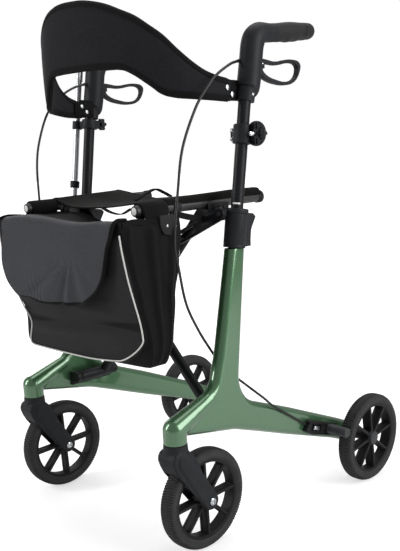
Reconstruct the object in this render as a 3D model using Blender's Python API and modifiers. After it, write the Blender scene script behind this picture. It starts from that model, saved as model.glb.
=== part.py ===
"""Folding rollator with moulded side frames, a cross brace, a seat, a backrest strap and a bag.

Lengths are in metres. +X is the user's left, +Z is up, and y is counted backwards from the front axle:
one empty carries everything, so that the origin is under the middle of the whole object.
"""

import math

import bmesh
import bpy
from mathutils import Matrix, Vector

# Overall layout
FRONT_AXLE_Y = -0.2121
FRAME_X = 0.2245
WHEELBASE = 0.452
GAP = 0.0003

# Wheels
WHEEL_RADIUS = 0.096
TYRE_WIDTH = 0.032
TYRE_DEPTH = 0.020
RIM_WIDTH = 0.025
RIM_WALL = 0.006
HUB_RADIUS = 0.017
SPOKES = 8
SPOKE_WIDTH = 0.006
WHEEL_SIDES = 32
FRONT_WHEEL_X = FRAME_X
REAR_WHEEL_X = FRAME_X + 0.0595
AXLE_RADIUS = 0.005
BOLT_HEAD_RADIUS = 0.007
HUB_CAP_RADIUS = 0.014

# Caster
CASTER_TRAIL = 0.0605
HEAD_RADIUS = 0.021
HEAD_BOTTOM_Z = 0.2115
HEAD_TOP_Z = 0.264
STEM_RADIUS = 0.007
STEM_TOP_Z = 0.246
FORK_WALL = 0.007
FORK_TOP_Z = HEAD_BOTTOM_Z - 0.0015
FORK_END_RADIUS = 0.018
WHEEL_ROOM = 0.006

# Leaning post, collar and handle tube share one axis through this point
LEAN = 0.155
LEAN_Y = 0.116
LEAN_Z = 0.611
POST_TOP_Z = 0.543
HANDLE_TUBE_RADIUS = 0.0111
HANDLE_TUBE_WALL = 0.0016
HANDLE_TUBE_BOTTOM_Z = 0.405
POST_BORE_BOTTOM_Z = 0.285
SLIDE_CLEARANCE = 0.0005
POST_WALL = 0.0024
COLLAR_WALL = 0.0084
SLEEVE_WALL = 0.0048
BAND_WALL = 0.0051
FRAME_THICKNESS = 2 * (HANDLE_TUBE_RADIUS + SLIDE_CLEARANCE + POST_WALL)
POST_DEPTH = FRAME_THICKNESS + 0.008
COLLAR_RADIUS = HANDLE_TUBE_RADIUS + SLIDE_CLEARANCE + COLLAR_WALL
SLEEVE_BOTTOM_Z = 0.793
SLEEVE_SOCKET_DEPTH = 0.040
CLAMP_Z = 0.738
CLAMP_HEIGHT = 0.032
CLAMP_RADIUS = HANDLE_TUBE_RADIUS + GAP + BAND_WALL

# Collar lever
LEVER_HALF_WIDTH = 0.007
LEVER_PIN_RADIUS = 0.0025
LEVER_LENGTH = 0.054
LEVER_BACK = COLLAR_RADIUS + 0.0075

# Grip and brake lever
GRIP_START_Y = 0.221
GRIP_START_Z = 0.907
GRIP_LENGTH = 0.115
GRIP_SLOPE = 0.148
BRAKE_PIVOT_Y = 0.186
BRAKE_PIVOT_Z = 0.856
BRAKE_LEVER_HALF_WIDTH = 0.006
BRAKE_PIN_RADIUS = 0.0025

# Clips on the handle tubes
CLIP_X = CLAMP_RADIUS + 0.010
CLIP_PLATE_RADIUS = 0.021
CLIP_PLATE_THICKNESS = 0.006
CLIP_PLATE_BACK = 0.004
HOOK_CLIP_Z = 0.7805
HOOK_CLIP_HEIGHT = 0.018
HOOK_CLIP_BACK = CLAMP_RADIUS + 0.007
HOOK_WALL = 0.0027
KNOB_SHAFT_RADIUS = 0.003
KNOB_THICKNESS = 0.011

# Seat tubes and the scissor brace
SEAT_TUBE_X = 0.165
SEAT_TUBE_RADIUS = 0.010
SEAT_TUBE_FRONT_Y = -0.071
SEAT_TUBE_REAR_Y = 0.242
SEAT_TUBE_Z = 0.619
SEAT_TUBE_RISE = 0.006
FOLD_PIVOT_X = FRAME_X - FRAME_THICKNESS / 2 - 0.0205
FOLD_PIVOT_Z = 0.248
# The braces cross where their lines meet the middle, and the guide pins lie on them
CENTRE_PIVOT_Z = FOLD_PIVOT_Z + (SEAT_TUBE_Z - FOLD_PIVOT_Z) * FOLD_PIVOT_X / (FOLD_PIVOT_X + SEAT_TUBE_X) + 0.0004366
BRACE_RADIUS = 0.010
BRACE_A_Y = 0.058
BRACE_B_Y = 0.102
FOLD_PIN_RADIUS = 0.006
FOLD_LUG_FRONT_Y = 0.032
FOLD_LUG_REAR_Y = 0.128
FOLD_LUG_WIDTH = 0.012
CENTRE_BOLT_RADIUS = 0.004

# Guide links: a slotted bar from each collar to a pin on the brace
LINK_COLLAR_X = FRAME_X - 0.010
LINK_COLLAR_Z = 0.6045
LINK_PIN_X = 0.105
LINK_PIN_Z = CENTRE_PIVOT_Z + (SEAT_TUBE_Z - CENTRE_PIVOT_Z) * LINK_PIN_X / SEAT_TUBE_X + 0.0005455
LINK_HALF_WIDTH = 0.0115
LINK_SLOT_WIDTH = 0.0122
LINK_THICKNESS = 0.006
LINK_PIN_RADIUS = 0.003
LINK_EYE_RADIUS = 0.004
LINK_SPACING = 0.004
CRADLE_FRONT = 0.0125
# Front view of the casting under a seat tube, its lower outer corner cut off to clear the handle tube's clip
CRADLE_CORNERS = ((-0.015, -0.001), (0.015, -0.001), (0.015, -0.018), (0.004, -0.035), (-0.015, -0.035))

# Soft parts
SEAT_FRONT_Y = -0.004
SEAT_REAR_Y = 0.158
SEAT_SAG = 0.020
CLOTH = 0.003
BRACKET_FRONT_Y = 0.0155
BRACKET_REAR_Y = 0.040
PULL_STRAP_RADIUS = 0.0022
PULL_STRAP_RISE = 0.026
BACKREST_HALF_WIDTH = FRAME_X - 0.012
BACKREST_DEPTH = 0.158
BACKREST_END_Y = 0.120
BACKREST_SQUARENESS = 0.82
BACKREST_THICKNESS = 0.014
BACKREST_END_HALF = 0.0032
RIVET_PLACES = ((0.098, 0.817), (0.110, 0.804))
RIVET_RADIUS = 0.002
BAG_HALF_WIDTH = 0.190
BAG_FRONT_Y = -0.120
BAG_REAR_Y = 0.012
BAG_TOP_Z = 0.5965
BAG_BOTTOM_Z = 0.352
BAG_WALL = 0.004
BAG_LEAN = 0.018
FLAP_LEFT_X = 0.150
FLAP_RIGHT_X = -0.180
FLAP_HINGE_Y = -0.080
FLAP_BOTTOM_Z = 0.470

# Brake
SHOE_RADIUS = 0.0105
SHOE_REST = 0.0034318
SHOE_RISE = math.radians(21.8980)
SHOE_Y = WHEELBASE - (WHEEL_RADIUS + SHOE_RADIUS + SHOE_REST) * math.cos(SHOE_RISE)
SHOE_Z = WHEEL_RADIUS + (WHEEL_RADIUS + SHOE_RADIUS + SHOE_REST) * math.sin(SHOE_RISE)
SHOE_OUTER_X = REAR_WHEEL_X + TYRE_WIDTH / 2
SHOE_TRAVEL = 0.0026
HOUSING_THICKNESS = 0.011
CABLE_RADIUS = 0.0024

# Walking stick on the right side, held outside the handle tube
STICK_RADIUS = 0.006
STICK_RING_RADIUS = 0.0072
STICK_X = -(FRAME_X + CLAMP_RADIUS + 0.0175)
STICK_TOP_Z = 0.900
STICK_FOOT_Z = 0.340

PARTS = None
CUTTERS = None
ROOT = None
SIDES = (("left", 1), ("right", -1))


def srgb(hex_code):
    channels = []
    for start in (0, 2, 4):
        value = int(hex_code[start:start + 2], 16) / 255
        channels.append(value / 12.92 if value <= 0.04045 else ((value + 0.055) / 1.055) ** 2.4)
    return (*channels, 1.0)


def paint(obj, hex_code, roughness, metallic=0.0):
    material = bpy.data.materials.new(obj.name)
    material.use_nodes = True
    shader = material.node_tree.nodes["Principled BSDF"]
    shader.inputs["Base Color"].default_value = srgb(hex_code)
    shader.inputs["Roughness"].default_value = roughness
    shader.inputs["Metallic"].default_value = metallic
    obj.data.materials.clear()
    obj.data.materials.append(material)


def green_lacquer(obj):
    paint(obj, "5a8559", 0.28, 0.7)


def black_metal(obj):
    paint(obj, "1f2022", 0.45, 0.3)


def black_plastic(obj):
    paint(obj, "242527", 0.55)


def rubber(obj):
    paint(obj, "2b2b2c", 0.8)


def grey_plastic(obj):
    paint(obj, "4a4a4b", 0.5)


def silver(obj):
    paint(obj, "c9cbcd", 0.25, 1.0)


def cloth(obj):
    paint(obj, "232427", 0.9)


def link_object(mesh, name):
    obj = bpy.data.objects.new(name, mesh)
    PARTS.objects.link(obj)
    obj.parent = ROOT
    return obj


def move_to(obj, pivot):
    """Puts the object's origin on its joint axis and leaves its shape in place."""
    offset = Vector(pivot) - obj.location
    obj.data.transform(Matrix.Translation(-offset))
    obj.location = pivot


def round_shading(obj):
    obj.data.shade_smooth()
    obj.data.set_sharp_from_angle(angle=math.radians(35))


def add_boolean(obj, other, operation):
    """Cuts or joins another object, which becomes a hidden guide."""
    PARTS.objects.unlink(other)
    CUTTERS.objects.link(other)
    other.hide_render = True
    other.display_type = "WIRE"
    modifier = obj.modifiers.new(other.name, "BOOLEAN")
    modifier.operation = operation
    modifier.solver = "EXACT"
    modifier.object = other


def cut(obj, *others):
    for other in others:
        add_boolean(obj, other, "DIFFERENCE")


def join(obj, *others):
    for other in others:
        add_boolean(obj, other, "UNION")


def soften(obj, width, segments=2):
    bevel = obj.modifiers.new("rounded edges", "BEVEL")
    bevel.width = width
    bevel.segments = segments
    bevel.limit_method = "ANGLE"
    bevel.angle_limit = math.radians(40)


def block(name, size, centre):
    mesh = bpy.data.meshes.new(name)
    shape = bmesh.new()
    bmesh.ops.create_cube(shape, size=1.0)
    bmesh.ops.scale(shape, vec=size, verts=shape.verts)
    bmesh.ops.translate(shape, vec=centre, verts=shape.verts)
    shape.to_mesh(mesh)
    shape.free()
    return link_object(mesh, name)


def rod(name, start, end, radius, sides=16, end_radius=None):
    """A cylinder or cone from one point to another, with a facet facing down."""
    start = Vector(start)
    end = Vector(end)
    direction = end - start
    turn = direction.to_track_quat("Z", "Y").to_matrix().to_4x4()
    half_step = Matrix.Rotation(math.pi / sides, 4, "Z")
    mesh = bpy.data.meshes.new(name)
    shape = bmesh.new()
    bmesh.ops.create_cone(
        shape, cap_ends=True, segments=sides, radius1=radius,
        radius2=radius if end_radius is None else end_radius, depth=direction.length,
        matrix=Matrix.Translation((start + end) / 2) @ turn @ half_step)
    shape.to_mesh(mesh)
    shape.free()
    obj = link_object(mesh, name)
    round_shading(obj)
    return obj


def solid_from_curve(name, curve, matrix=None):
    """Turns a filled or bevelled curve into a welded mesh object."""
    guide = bpy.data.objects.new(name, curve)
    PARTS.objects.link(guide)
    if matrix is not None:
        guide.matrix_world = matrix
    bpy.context.view_layer.update()
    graph = bpy.context.evaluated_depsgraph_get()
    mesh = bpy.data.meshes.new_from_object(guide.evaluated_get(graph))
    mesh.transform(guide.matrix_world)
    shape = bmesh.new()
    shape.from_mesh(mesh)
    bmesh.ops.remove_doubles(shape, verts=shape.verts, dist=0.00001)
    shape.to_mesh(mesh)
    shape.free()
    bpy.data.objects.remove(guide)
    bpy.data.curves.remove(curve)
    mesh.name = name
    return link_object(mesh, name)


def add_loop(curve, points):
    spline = curve.splines.new("POLY")
    spline.points.add(len(points) - 1)
    for target, (u, v) in zip(spline.points, points):
        target.co = (u, v, 0.0, 1.0)
    spline.use_cyclic_u = True


# Rows are world x, y and z; columns are the outline's first axis, second axis and thickness.
FACING_SIDEWAYS = Matrix(((0, 0, 1, 0), (1, 0, 0, 0), (0, 1, 0, 0), (0, 0, 0, 1)))
FACING_FRONT = Matrix(((1, 0, 0, 0), (0, 0, -1, 0), (0, 1, 0, 0), (0, 0, 0, 1)))


def plate(name, loops, thickness, facing, offset):
    """An outline, with any holes, extruded to a thickness about the plane at the offset."""
    curve = bpy.data.curves.new(name, "CURVE")
    curve.dimensions = "2D"
    curve.fill_mode = "BOTH"
    curve.extrude = thickness / 2
    for points in loops:
        add_loop(curve, points)
    return solid_from_curve(name, curve, Matrix.Translation(offset) @ facing)


def tube(name, points, radii, sides_level=2):
    """A round bar along the points, with one radius for all or one for each."""
    curve = bpy.data.curves.new(name, "CURVE")
    curve.dimensions = "3D"
    curve.bevel_depth = 1.0
    curve.bevel_resolution = sides_level
    curve.use_fill_caps = True
    spline = curve.splines.new("POLY")
    spline.points.add(len(points) - 1)
    if isinstance(radii, float):
        radii = [radii] * len(points)
    for target, point, radius in zip(spline.points, points, radii):
        target.co = (*point, 1.0)
        target.radius = radius
    obj = solid_from_curve(name, curve)
    round_shading(obj)
    return obj


def turned(name, profile, centre, steps):
    """A closed profile of (radius, across) points turned about the crosswise axis, facets square to it."""
    mesh = bpy.data.meshes.new(name)
    shape = bmesh.new()
    widen = 1 / math.cos(math.pi / steps)
    half_step = math.pi / steps
    corners = []
    for radius, across in profile:
        reach = radius * widen
        corners.append(shape.verts.new((reach * math.cos(half_step), reach * math.sin(half_step), across)))
    for first, second in zip(corners, corners[1:] + corners[:1]):
        shape.edges.new((first, second))
    shape.to_mesh(mesh)
    shape.free()
    obj = link_object(mesh, name)
    obj.location = centre
    obj.rotation_euler = (0.0, math.pi / 2, 0.0)
    screw = obj.modifiers.new("turn", "SCREW")
    screw.steps = steps
    screw.render_steps = steps
    screw.use_merge_vertices = True
    screw.merge_threshold = 0.00001
    screw.use_normal_calculate = True
    return obj


def loft(name, rings):
    """A skin over closed rings of equal count, closed by a face at both ends."""
    mesh = bpy.data.meshes.new(name)
    shape = bmesh.new()
    rows = []
    for ring in rings:
        rows.append([shape.verts.new(point) for point in ring])
    for lower, upper in zip(rows, rows[1:]):
        count = len(lower)
        for index in range(count):
            after = (index + 1) % count
            shape.faces.new((lower[index], lower[after], upper[after], upper[index]))
    shape.faces.new(list(reversed(rows[0])))
    shape.faces.new(rows[-1])
    bmesh.ops.recalc_face_normals(shape, faces=shape.faces)
    shape.to_mesh(mesh)
    shape.free()
    obj = link_object(mesh, name)
    round_shading(obj)
    return obj


def rounded(corners, steps=3):
    """Outline points from (u, v, radius) corners, each radius drawn as an arc."""
    points = []
    count = len(corners)
    reaches = []
    for index, (u, v, radius) in enumerate(corners):
        corner = Vector((u, v))
        before = Vector(corners[index - 1][:2]) - corner
        after = Vector(corners[(index + 1) % count][:2]) - corner
        reaches.append(radius / math.tan(before.angle(after) / 2))
    for index, (u, v, radius) in enumerate(corners):
        corner = Vector((u, v))
        if radius == 0:
            points.append(tuple(corner))
            continue
        before = Vector(corners[index - 1][:2]) - corner
        after = Vector(corners[(index + 1) % count][:2]) - corner
        # An arc that would meet its neighbour's is limited by the straight between them
        room = min(before.length / (reaches[index - 1] + reaches[index]),
                   after.length / (reaches[index] + reaches[(index + 1) % count]), 1.0)
        before.normalize()
        after.normalize()
        radius *= room
        half_angle = before.angle(after) / 2
        middle = corner + (before + after).normalized() * radius / math.sin(half_angle)
        reach = reaches[index] * room
        start = corner + before * reach - middle
        end = corner + after * reach - middle
        for step in range(steps + 1):
            share = step / steps
            sweep = (start * (1 - share) + end * share).normalized()
            points.append(tuple(middle + sweep * radius))
    return points


def arc(centre, radius, start, end, steps):
    """Points on an arc between two angles in degrees."""
    points = []
    for step in range(steps + 1):
        angle = math.radians(start + (end - start) * step / steps)
        points.append((centre[0] + radius * math.cos(angle), centre[1] + radius * math.sin(angle)))
    return points


def smooth_route(points, spacing):
    """Evenly placed points on a smooth curve through the given ones."""
    route = [Vector(point) for point in points]
    ends = [2 * route[0] - route[1]] + route + [2 * route[-1] - route[-2]]
    fine = []
    for before, start, end, after in zip(ends, ends[1:], ends[2:], ends[3:]):
        for step in range(20):
            t = step / 20
            fine.append(0.5 * (2 * start + (end - before) * t
                               + (2 * before - 5 * start + 4 * end - after) * t ** 2
                               + (3 * start - before - 3 * end + after) * t ** 3))
    fine.append(route[-1])
    length = sum((second - first).length for first, second in zip(fine, fine[1:]))
    count = max(2, round(length / spacing))
    step_length = length / count
    picked = [fine[0]]
    travelled = 0.0
    for first, second in zip(fine, fine[1:]):
        travelled += (second - first).length
        if travelled >= step_length * len(picked) and len(picked) < count:
            picked.append(second)
    picked.append(fine[-1])
    return [tuple(point) for point in picked]


def lean_y(z):
    """Where the leaning axis of post, collar and handle tube is at a height."""
    return LEAN_Y + (z - LEAN_Z) * LEAN


def lean_point(side, z, across=0.0, back=0.0):
    return (side * (FRAME_X + across), lean_y(z) + back, z)


def seat_tube_z(y):
    share = (y - SEAT_TUBE_FRONT_Y) / (SEAT_TUBE_REAR_Y - SEAT_TUBE_FRONT_Y)
    return SEAT_TUBE_Z + SEAT_TUBE_RISE * share


def side_frame(label, side):
    """One hollow moulding: caster head, front arm, leaning post and rear arm."""
    axle = (WHEELBASE, WHEEL_RADIUS)
    end = 0.0219
    along = Vector((0.925, -0.379))
    across = Vector((0.379, 0.925))
    tail_top = Vector(axle) + (along + across) * end
    tail_bottom = Vector(axle) + (along - across) * end
    half_post = POST_DEPTH / 2
    post_top_y = lean_y(POST_TOP_Z)
    corners = [
        (-CASTER_TRAIL, 0.268, 0.0),
        (0.031, 0.297, 0.015),
        (0.050, 0.362, 0.150),
        (post_top_y - half_post, POST_TOP_Z + half_post * LEAN, 0.0),
        (post_top_y + half_post, POST_TOP_Z - half_post * LEAN, 0.0),
        (0.094, 0.2665, 0.045),
        (0.246, 0.207, 0.200),
        (WHEELBASE - 0.037, 0.137, 0.150),
        (*tail_top, end - 0.0002),
        (*tail_bottom, end - 0.0002),
        (WHEELBASE - 0.060, 0.097, 0.150),
        (0.228, 0.157, 0.200),
        (0.145, 0.190, 0.120),
        (0.100, 0.200, 0.120),
        (-CASTER_TRAIL, 0.233, 0.0),
    ]
    frame = plate(f"side_frame_{label}", [rounded(corners)], FRAME_THICKNESS, FACING_SIDEWAYS,
                  (side * FRAME_X, 0.0, 0.0))
    soften(frame, 0.007, 1)
    head = rod("caster head", (side * FRAME_X, -CASTER_TRAIL, HEAD_BOTTOM_Z),
               (side * FRAME_X, -CASTER_TRAIL, HEAD_TOP_Z + 0.004), HEAD_RADIUS, 20)
    soften(head, 0.005, 1)
    join(frame, head)
    stem_room = rod("caster bore", (side * FRAME_X, -CASTER_TRAIL, HEAD_BOTTOM_Z - 0.01),
                    (side * FRAME_X, -CASTER_TRAIL, STEM_TOP_Z + 0.002), STEM_RADIUS + GAP, 16)
    tube_room = rod("post bore", lean_point(side, POST_BORE_BOTTOM_Z), lean_point(side, POST_TOP_Z + 0.02),
                    HANDLE_TUBE_RADIUS + SLIDE_CLEARANCE, 20)
    axle_room = rod("axle bore", (side * (FRAME_X - 0.03), *axle), (side * (FRAME_X + 0.03), *axle),
                    AXLE_RADIUS + GAP, 12)
    cut(frame, stem_room, tube_room, axle_room)
    green_lacquer(frame)
    round_shading(frame)


def collar(label, side):
    """Clamping collar on the post, with ears for its lever and an arm for the guide link."""
    bottom = POST_TOP_Z + GAP + 0.0002
    body = rod(f"collar_{label}", lean_point(side, bottom), lean_point(side, LEAN_Z), COLLAR_RADIUS, 20)
    lip = rod("collar lip", lean_point(side, LEAN_Z - 0.007), lean_point(side, LEAN_Z + 0.0005),
              COLLAR_RADIUS + 0.001, 20)
    join(body, lip)
    pivot = lever_pivot(side)
    for ear_side in (-1, 1):
        ear = block("collar ear", (0.004, 0.016, 0.016),
                    (pivot[0] + ear_side * (LEVER_HALF_WIDTH + GAP + 0.002), pivot[1] - 0.004, pivot[2]))
        join(body, ear)
    eye = rod("lever eye", (pivot[0] - 0.02, pivot[1], pivot[2]), (pivot[0] + 0.02, pivot[1], pivot[2]),
              LEVER_PIN_RADIUS + GAP, 12)
    arm_y = link_plane_y(side)
    arm_reach = abs(lean_y(LINK_COLLAR_Z) - arm_y) - LINK_THICKNESS / 2 - GAP
    direction = 1 if arm_y < lean_y(LINK_COLLAR_Z) else -1
    arm_centre_y = lean_y(LINK_COLLAR_Z) - direction * arm_reach / 2
    arm = block("link arm", (0.014, arm_reach, 0.013),
                (side * (LINK_COLLAR_X - 0.001), arm_centre_y, LINK_COLLAR_Z))
    pin_end_y = arm_y - direction * (LINK_THICKNESS / 2 + 0.001)
    pin = rod("link pivot", (side * LINK_COLLAR_X, arm_centre_y, LINK_COLLAR_Z),
              (side * LINK_COLLAR_X, pin_end_y, LINK_COLLAR_Z), LINK_EYE_RADIUS, 12)
    room = rod("tube bore", lean_point(side, bottom - 0.02), lean_point(side, LEAN_Z + 0.02),
               HANDLE_TUBE_RADIUS + SLIDE_CLEARANCE, 20)
    join(body, arm, pin)
    cut(body, eye, room)
    black_plastic(body)


def lever_pivot(side):
    """Hinge of the quick-release lever, behind the foot of the collar."""
    z = POST_TOP_Z + 0.010
    return (side * FRAME_X, lean_y(z) + LEVER_BACK, z)


def quick_release_lever(label, side):
    pivot = lever_pivot(side)
    front = COLLAR_RADIUS + 0.0020 - LEVER_BACK
    corners = [
        (front, -0.0065, 0.004),
        (0.009, -0.0065, 0.004),
        (0.008, 0.020, 0.020),
        (0.018, 0.042, 0.003),
        (0.010, LEVER_LENGTH - 0.006, 0.002),
        (front, LEVER_LENGTH - 0.004, 0.002),
    ]
    outline = []
    for u, v in rounded(corners, 3):
        outline.append((pivot[1] + u + v * LEAN, pivot[2] + v))
    lever = plate(f"quick_release_lever_{label}", [outline], 2 * LEVER_HALF_WIDTH, FACING_SIDEWAYS,
                  (side * FRAME_X, 0.0, 0.0))
    reach = LEVER_HALF_WIDTH + GAP + 0.0035
    pin = rod("lever pin", (pivot[0] - reach, pivot[1], pivot[2]), (pivot[0] + reach, pivot[1], pivot[2]),
              LEVER_PIN_RADIUS, 12)
    join(lever, pin)
    black_plastic(lever)
    move_to(lever, pivot)


def handle_tube(label, side):
    top = SLEEVE_BOTTOM_Z + SLEEVE_SOCKET_DEPTH - 0.001
    body = rod(f"handle_tube_{label}", lean_point(side, HANDLE_TUBE_BOTTOM_Z), lean_point(side, top),
               HANDLE_TUBE_RADIUS, 20)
    hollow = rod("tube hollow", lean_point(side, HANDLE_TUBE_BOTTOM_Z - 0.01), lean_point(side, top + 0.01),
                 HANDLE_TUBE_RADIUS - HANDLE_TUBE_WALL, 12)
    cut(body, hollow)
    black_metal(body)


def sleeve_shape(name, side, extra):
    """The sleeve's outer form, from its foot through the bend to the grip."""
    spine = [
        (lean_y(SLEEVE_BOTTOM_Z), SLEEVE_BOTTOM_Z, HANDLE_TUBE_RADIUS + GAP + SLEEVE_WALL),
        (lean_y(0.812), 0.812, HANDLE_TUBE_RADIUS + GAP + SLEEVE_WALL + 0.0002),
        (lean_y(0.822) + 0.001, 0.822, 0.0190),
        (lean_y(0.845) + 0.002, 0.845, 0.0205),
        (0.1600, 0.872, 0.0210),
        (0.1640, 0.889, 0.0215),
        (0.1755, 0.902, 0.0208),
        (GRIP_START_Y - 0.027, GRIP_START_Z - 0.027 * GRIP_SLOPE, 0.0185),
        (GRIP_START_Y, GRIP_START_Z, 0.0165),
    ]
    points = [(side * FRAME_X, y, z) for y, z, radius in spine]
    return tube(name, points, [radius + extra for y, z, radius in spine], 3)


def handle_sleeve(label, side):
    """Elbow casting from the handle tube to the grip, with two cheeks for the brake lever."""
    body = sleeve_shape(f"handle_sleeve_{label}", side, 0.0)
    for cheek_side in (-1, 1):
        across = cheek_side * (BRAKE_LEVER_HALF_WIDTH + GAP + 0.002)
        join(body, block("brake cheek", (0.004, 0.026, 0.020),
                         (side * FRAME_X + across, BRAKE_PIVOT_Y - 0.006, BRAKE_PIVOT_Z)))
    clear = block("lever slot", (2 * (BRAKE_LEVER_HALF_WIDTH + GAP), 0.024, 0.030),
                  (side * FRAME_X, BRAKE_PIVOT_Y + 0.003, BRAKE_PIVOT_Z - 0.001))
    eye = rod("brake eye", (side * FRAME_X - 0.03, BRAKE_PIVOT_Y, BRAKE_PIVOT_Z),
              (side * FRAME_X + 0.03, BRAKE_PIVOT_Y, BRAKE_PIVOT_Z), BRAKE_PIN_RADIUS + GAP, 12)
    socket = rod("tube socket", lean_point(side, SLEEVE_BOTTOM_Z - 0.01),
                 lean_point(side, SLEEVE_BOTTOM_Z + SLEEVE_SOCKET_DEPTH), HANDLE_TUBE_RADIUS + GAP, 20)
    cut(body, clear, eye, socket)
    black_plastic(body)


def grip(label, side):
    """Rubber grip with a swell under the fingers and a round end."""
    points = []
    radii = []
    end = GRIP_LENGTH
    shape = [(GAP, 0.0162), (0.010, 0.0158), (0.028, 0.0156), (0.045, 0.0163), (0.062, 0.0160),
             (end - 0.035, 0.0150), (end - 0.017, 0.0145), (end - 0.007, 0.0128), (end - 0.002, 0.0095),
             (end, 0.0040)]
    for along, radius in shape:
        points.append((side * FRAME_X, GRIP_START_Y + along, GRIP_START_Z + along * GRIP_SLOPE))
        radii.append(radius)
    body = tube(f"grip_{label}", points, radii, 3)
    rubber(body)


def brake_lever(label, side):
    """Finger loop behind the sleeve, hinged between the two cheeks."""
    outer = rounded([
        (BRAKE_PIVOT_Y - 0.008, BRAKE_PIVOT_Z + 0.005, 0.003),
        (0.204, 0.8645, 0.020),
        (0.232, 0.8600, 0.040),
        (0.262, 0.8690, 0.025),
        (0.296, 0.8655, 0.014),
        (0.303, 0.8420, 0.016),
        (0.270, 0.8225, 0.020),
        (0.214, 0.8300, 0.040),
        (BRAKE_PIVOT_Y + 0.002, BRAKE_PIVOT_Z - 0.010, 0.010),
        (BRAKE_PIVOT_Y - 0.008, BRAKE_PIVOT_Z - 0.004, 0.003),
    ], 2)
    inner = rounded([
        (0.1995, 0.8565, 0.003),
        (0.233, 0.8525, 0.040),
        (0.262, 0.8615, 0.025),
        (0.283, 0.8590, 0.008),
        (0.290, 0.8440, 0.010),
        (0.268, 0.8305, 0.018),
        (0.219, 0.8360, 0.030),
    ], 2)
    lever = plate(f"brake_lever_{label}", [outer, inner], 2 * BRAKE_LEVER_HALF_WIDTH, FACING_SIDEWAYS,
                  (side * FRAME_X, 0.0, 0.0))
    reach = BRAKE_LEVER_HALF_WIDTH + GAP + 0.0035
    pin = rod("brake pin", (side * FRAME_X - reach, BRAKE_PIVOT_Y, BRAKE_PIVOT_Z),
              (side * FRAME_X + reach, BRAKE_PIVOT_Y, BRAKE_PIVOT_Z), BRAKE_PIN_RADIUS, 12)
    join(lever, pin)
    black_plastic(lever)
    move_to(lever, (side * FRAME_X, BRAKE_PIVOT_Y, BRAKE_PIVOT_Z))


def clip_band(name, side, middle_z, height):
    low = lean_point(side, middle_z - height / 2)
    high = lean_point(side, middle_z + height / 2)
    return rod(name, low, high, CLAMP_RADIUS, 20)


def clip_bore(side, middle_z):
    return rod("clip bore", lean_point(side, middle_z - 0.04), lean_point(side, middle_z + 0.04),
               HANDLE_TUBE_RADIUS + GAP, 20)


def stick_clip_left():
    """Band around the left handle tube with an empty round holder beside it."""
    body = clip_band("stick_clip_left", 1, CLAMP_Z, CLAMP_HEIGHT)
    x = FRAME_X + CLIP_X
    y = lean_y(CLAMP_Z) + CLIP_PLATE_BACK
    disc = rod("clip plate", (x, y, CLAMP_Z), (x, y + CLIP_PLATE_THICKNESS, CLAMP_Z), CLIP_PLATE_RADIUS, 20)
    join(body, disc)
    shaft_room = rod("knob bore", (x, y - 0.01, CLAMP_Z), (x, y + 0.02, CLAMP_Z), KNOB_SHAFT_RADIUS + GAP, 12)
    cut(body, clip_bore(1, CLAMP_Z), shaft_room)
    black_plastic(body)


def stick_clip_right():
    """Band around the right handle tube with an open hook that the stick's ring also passes through."""
    z = HOOK_CLIP_Z
    body = clip_band("stick_clip_right", -1, z, HOOK_CLIP_HEIGHT)
    half = HOOK_CLIP_HEIGHT / 2 - 0.001
    hook = rod("stick hook", (STICK_X, stick_y(z - half), z - half), (STICK_X, stick_y(z + half), z + half),
               STICK_RING_RADIUS + GAP + HOOK_WALL, 16)
    bridge = block("hook bridge", (0.016, 0.009, 2 * half), (-FRAME_X - CLAMP_RADIUS - 0.0035, stick_y(z) + 0.004, z))
    boss = block("knob boss", (0.013, 0.010, 0.013), (-FRAME_X, lean_y(z) + HOOK_CLIP_BACK - 0.005, z))
    join(body, hook, bridge, boss)
    stick_room = rod("stick bore", (STICK_X, stick_y(z - 0.03), z - 0.03),
                     (STICK_X, stick_y(z + 0.03), z + 0.03), STICK_RING_RADIUS + GAP, 16)
    opening = block("hook mouth", (0.010, 0.009, 0.040), (STICK_X - 0.0075, stick_y(z), z))
    shaft_room = rod("knob bore", (-FRAME_X, lean_y(z) + 0.0130, z), (-FRAME_X, lean_y(z) + 0.04, z),
                     KNOB_SHAFT_RADIUS + GAP, 12)
    cut(body, clip_bore(-1, z), stick_room, opening, shaft_room)
    black_plastic(body)


def clip_knob(label, x, back, z, shaft_front, has_head):
    """Star knob behind its clip, its bolt forwards through the clip."""
    lobes = []
    lobe_count = 5
    for step in range(lobe_count * 4):
        angle = 2 * math.pi * step / (lobe_count * 4)
        radius = (0.0115, 0.0115, 0.008, 0.008)[step % 4]
        lobes.append((x + radius * math.cos(angle), z + radius * math.sin(angle)))
    knob = plate(f"clip_knob_{label}", [lobes], KNOB_THICKNESS, FACING_FRONT,
                 (0.0, back + KNOB_THICKNESS / 2, 0.0))
    join(knob, rod("knob bolt", (x, shaft_front, z), (x, back + 0.004, z), KNOB_SHAFT_RADIUS, 12))
    if has_head:
        join(knob, rod("bolt head", (x, shaft_front - 0.0025, z), (x, shaft_front + 0.0015, z), 0.006, 12))
    black_plastic(knob)
    move_to(knob, (x, back, z))


def clip_knobs():
    plate_back = lean_y(CLAMP_Z) + CLIP_PLATE_BACK + CLIP_PLATE_THICKNESS
    plate_front = lean_y(CLAMP_Z) + CLIP_PLATE_BACK
    clip_knob("left", FRAME_X + CLIP_X, plate_back + GAP, CLAMP_Z, plate_front - GAP - 0.0015, True)
    hook_y = lean_y(HOOK_CLIP_Z)
    clip_knob("right", -FRAME_X, hook_y + HOOK_CLIP_BACK + GAP, HOOK_CLIP_Z, hook_y + HANDLE_TUBE_RADIUS + 0.0024, False)


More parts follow.
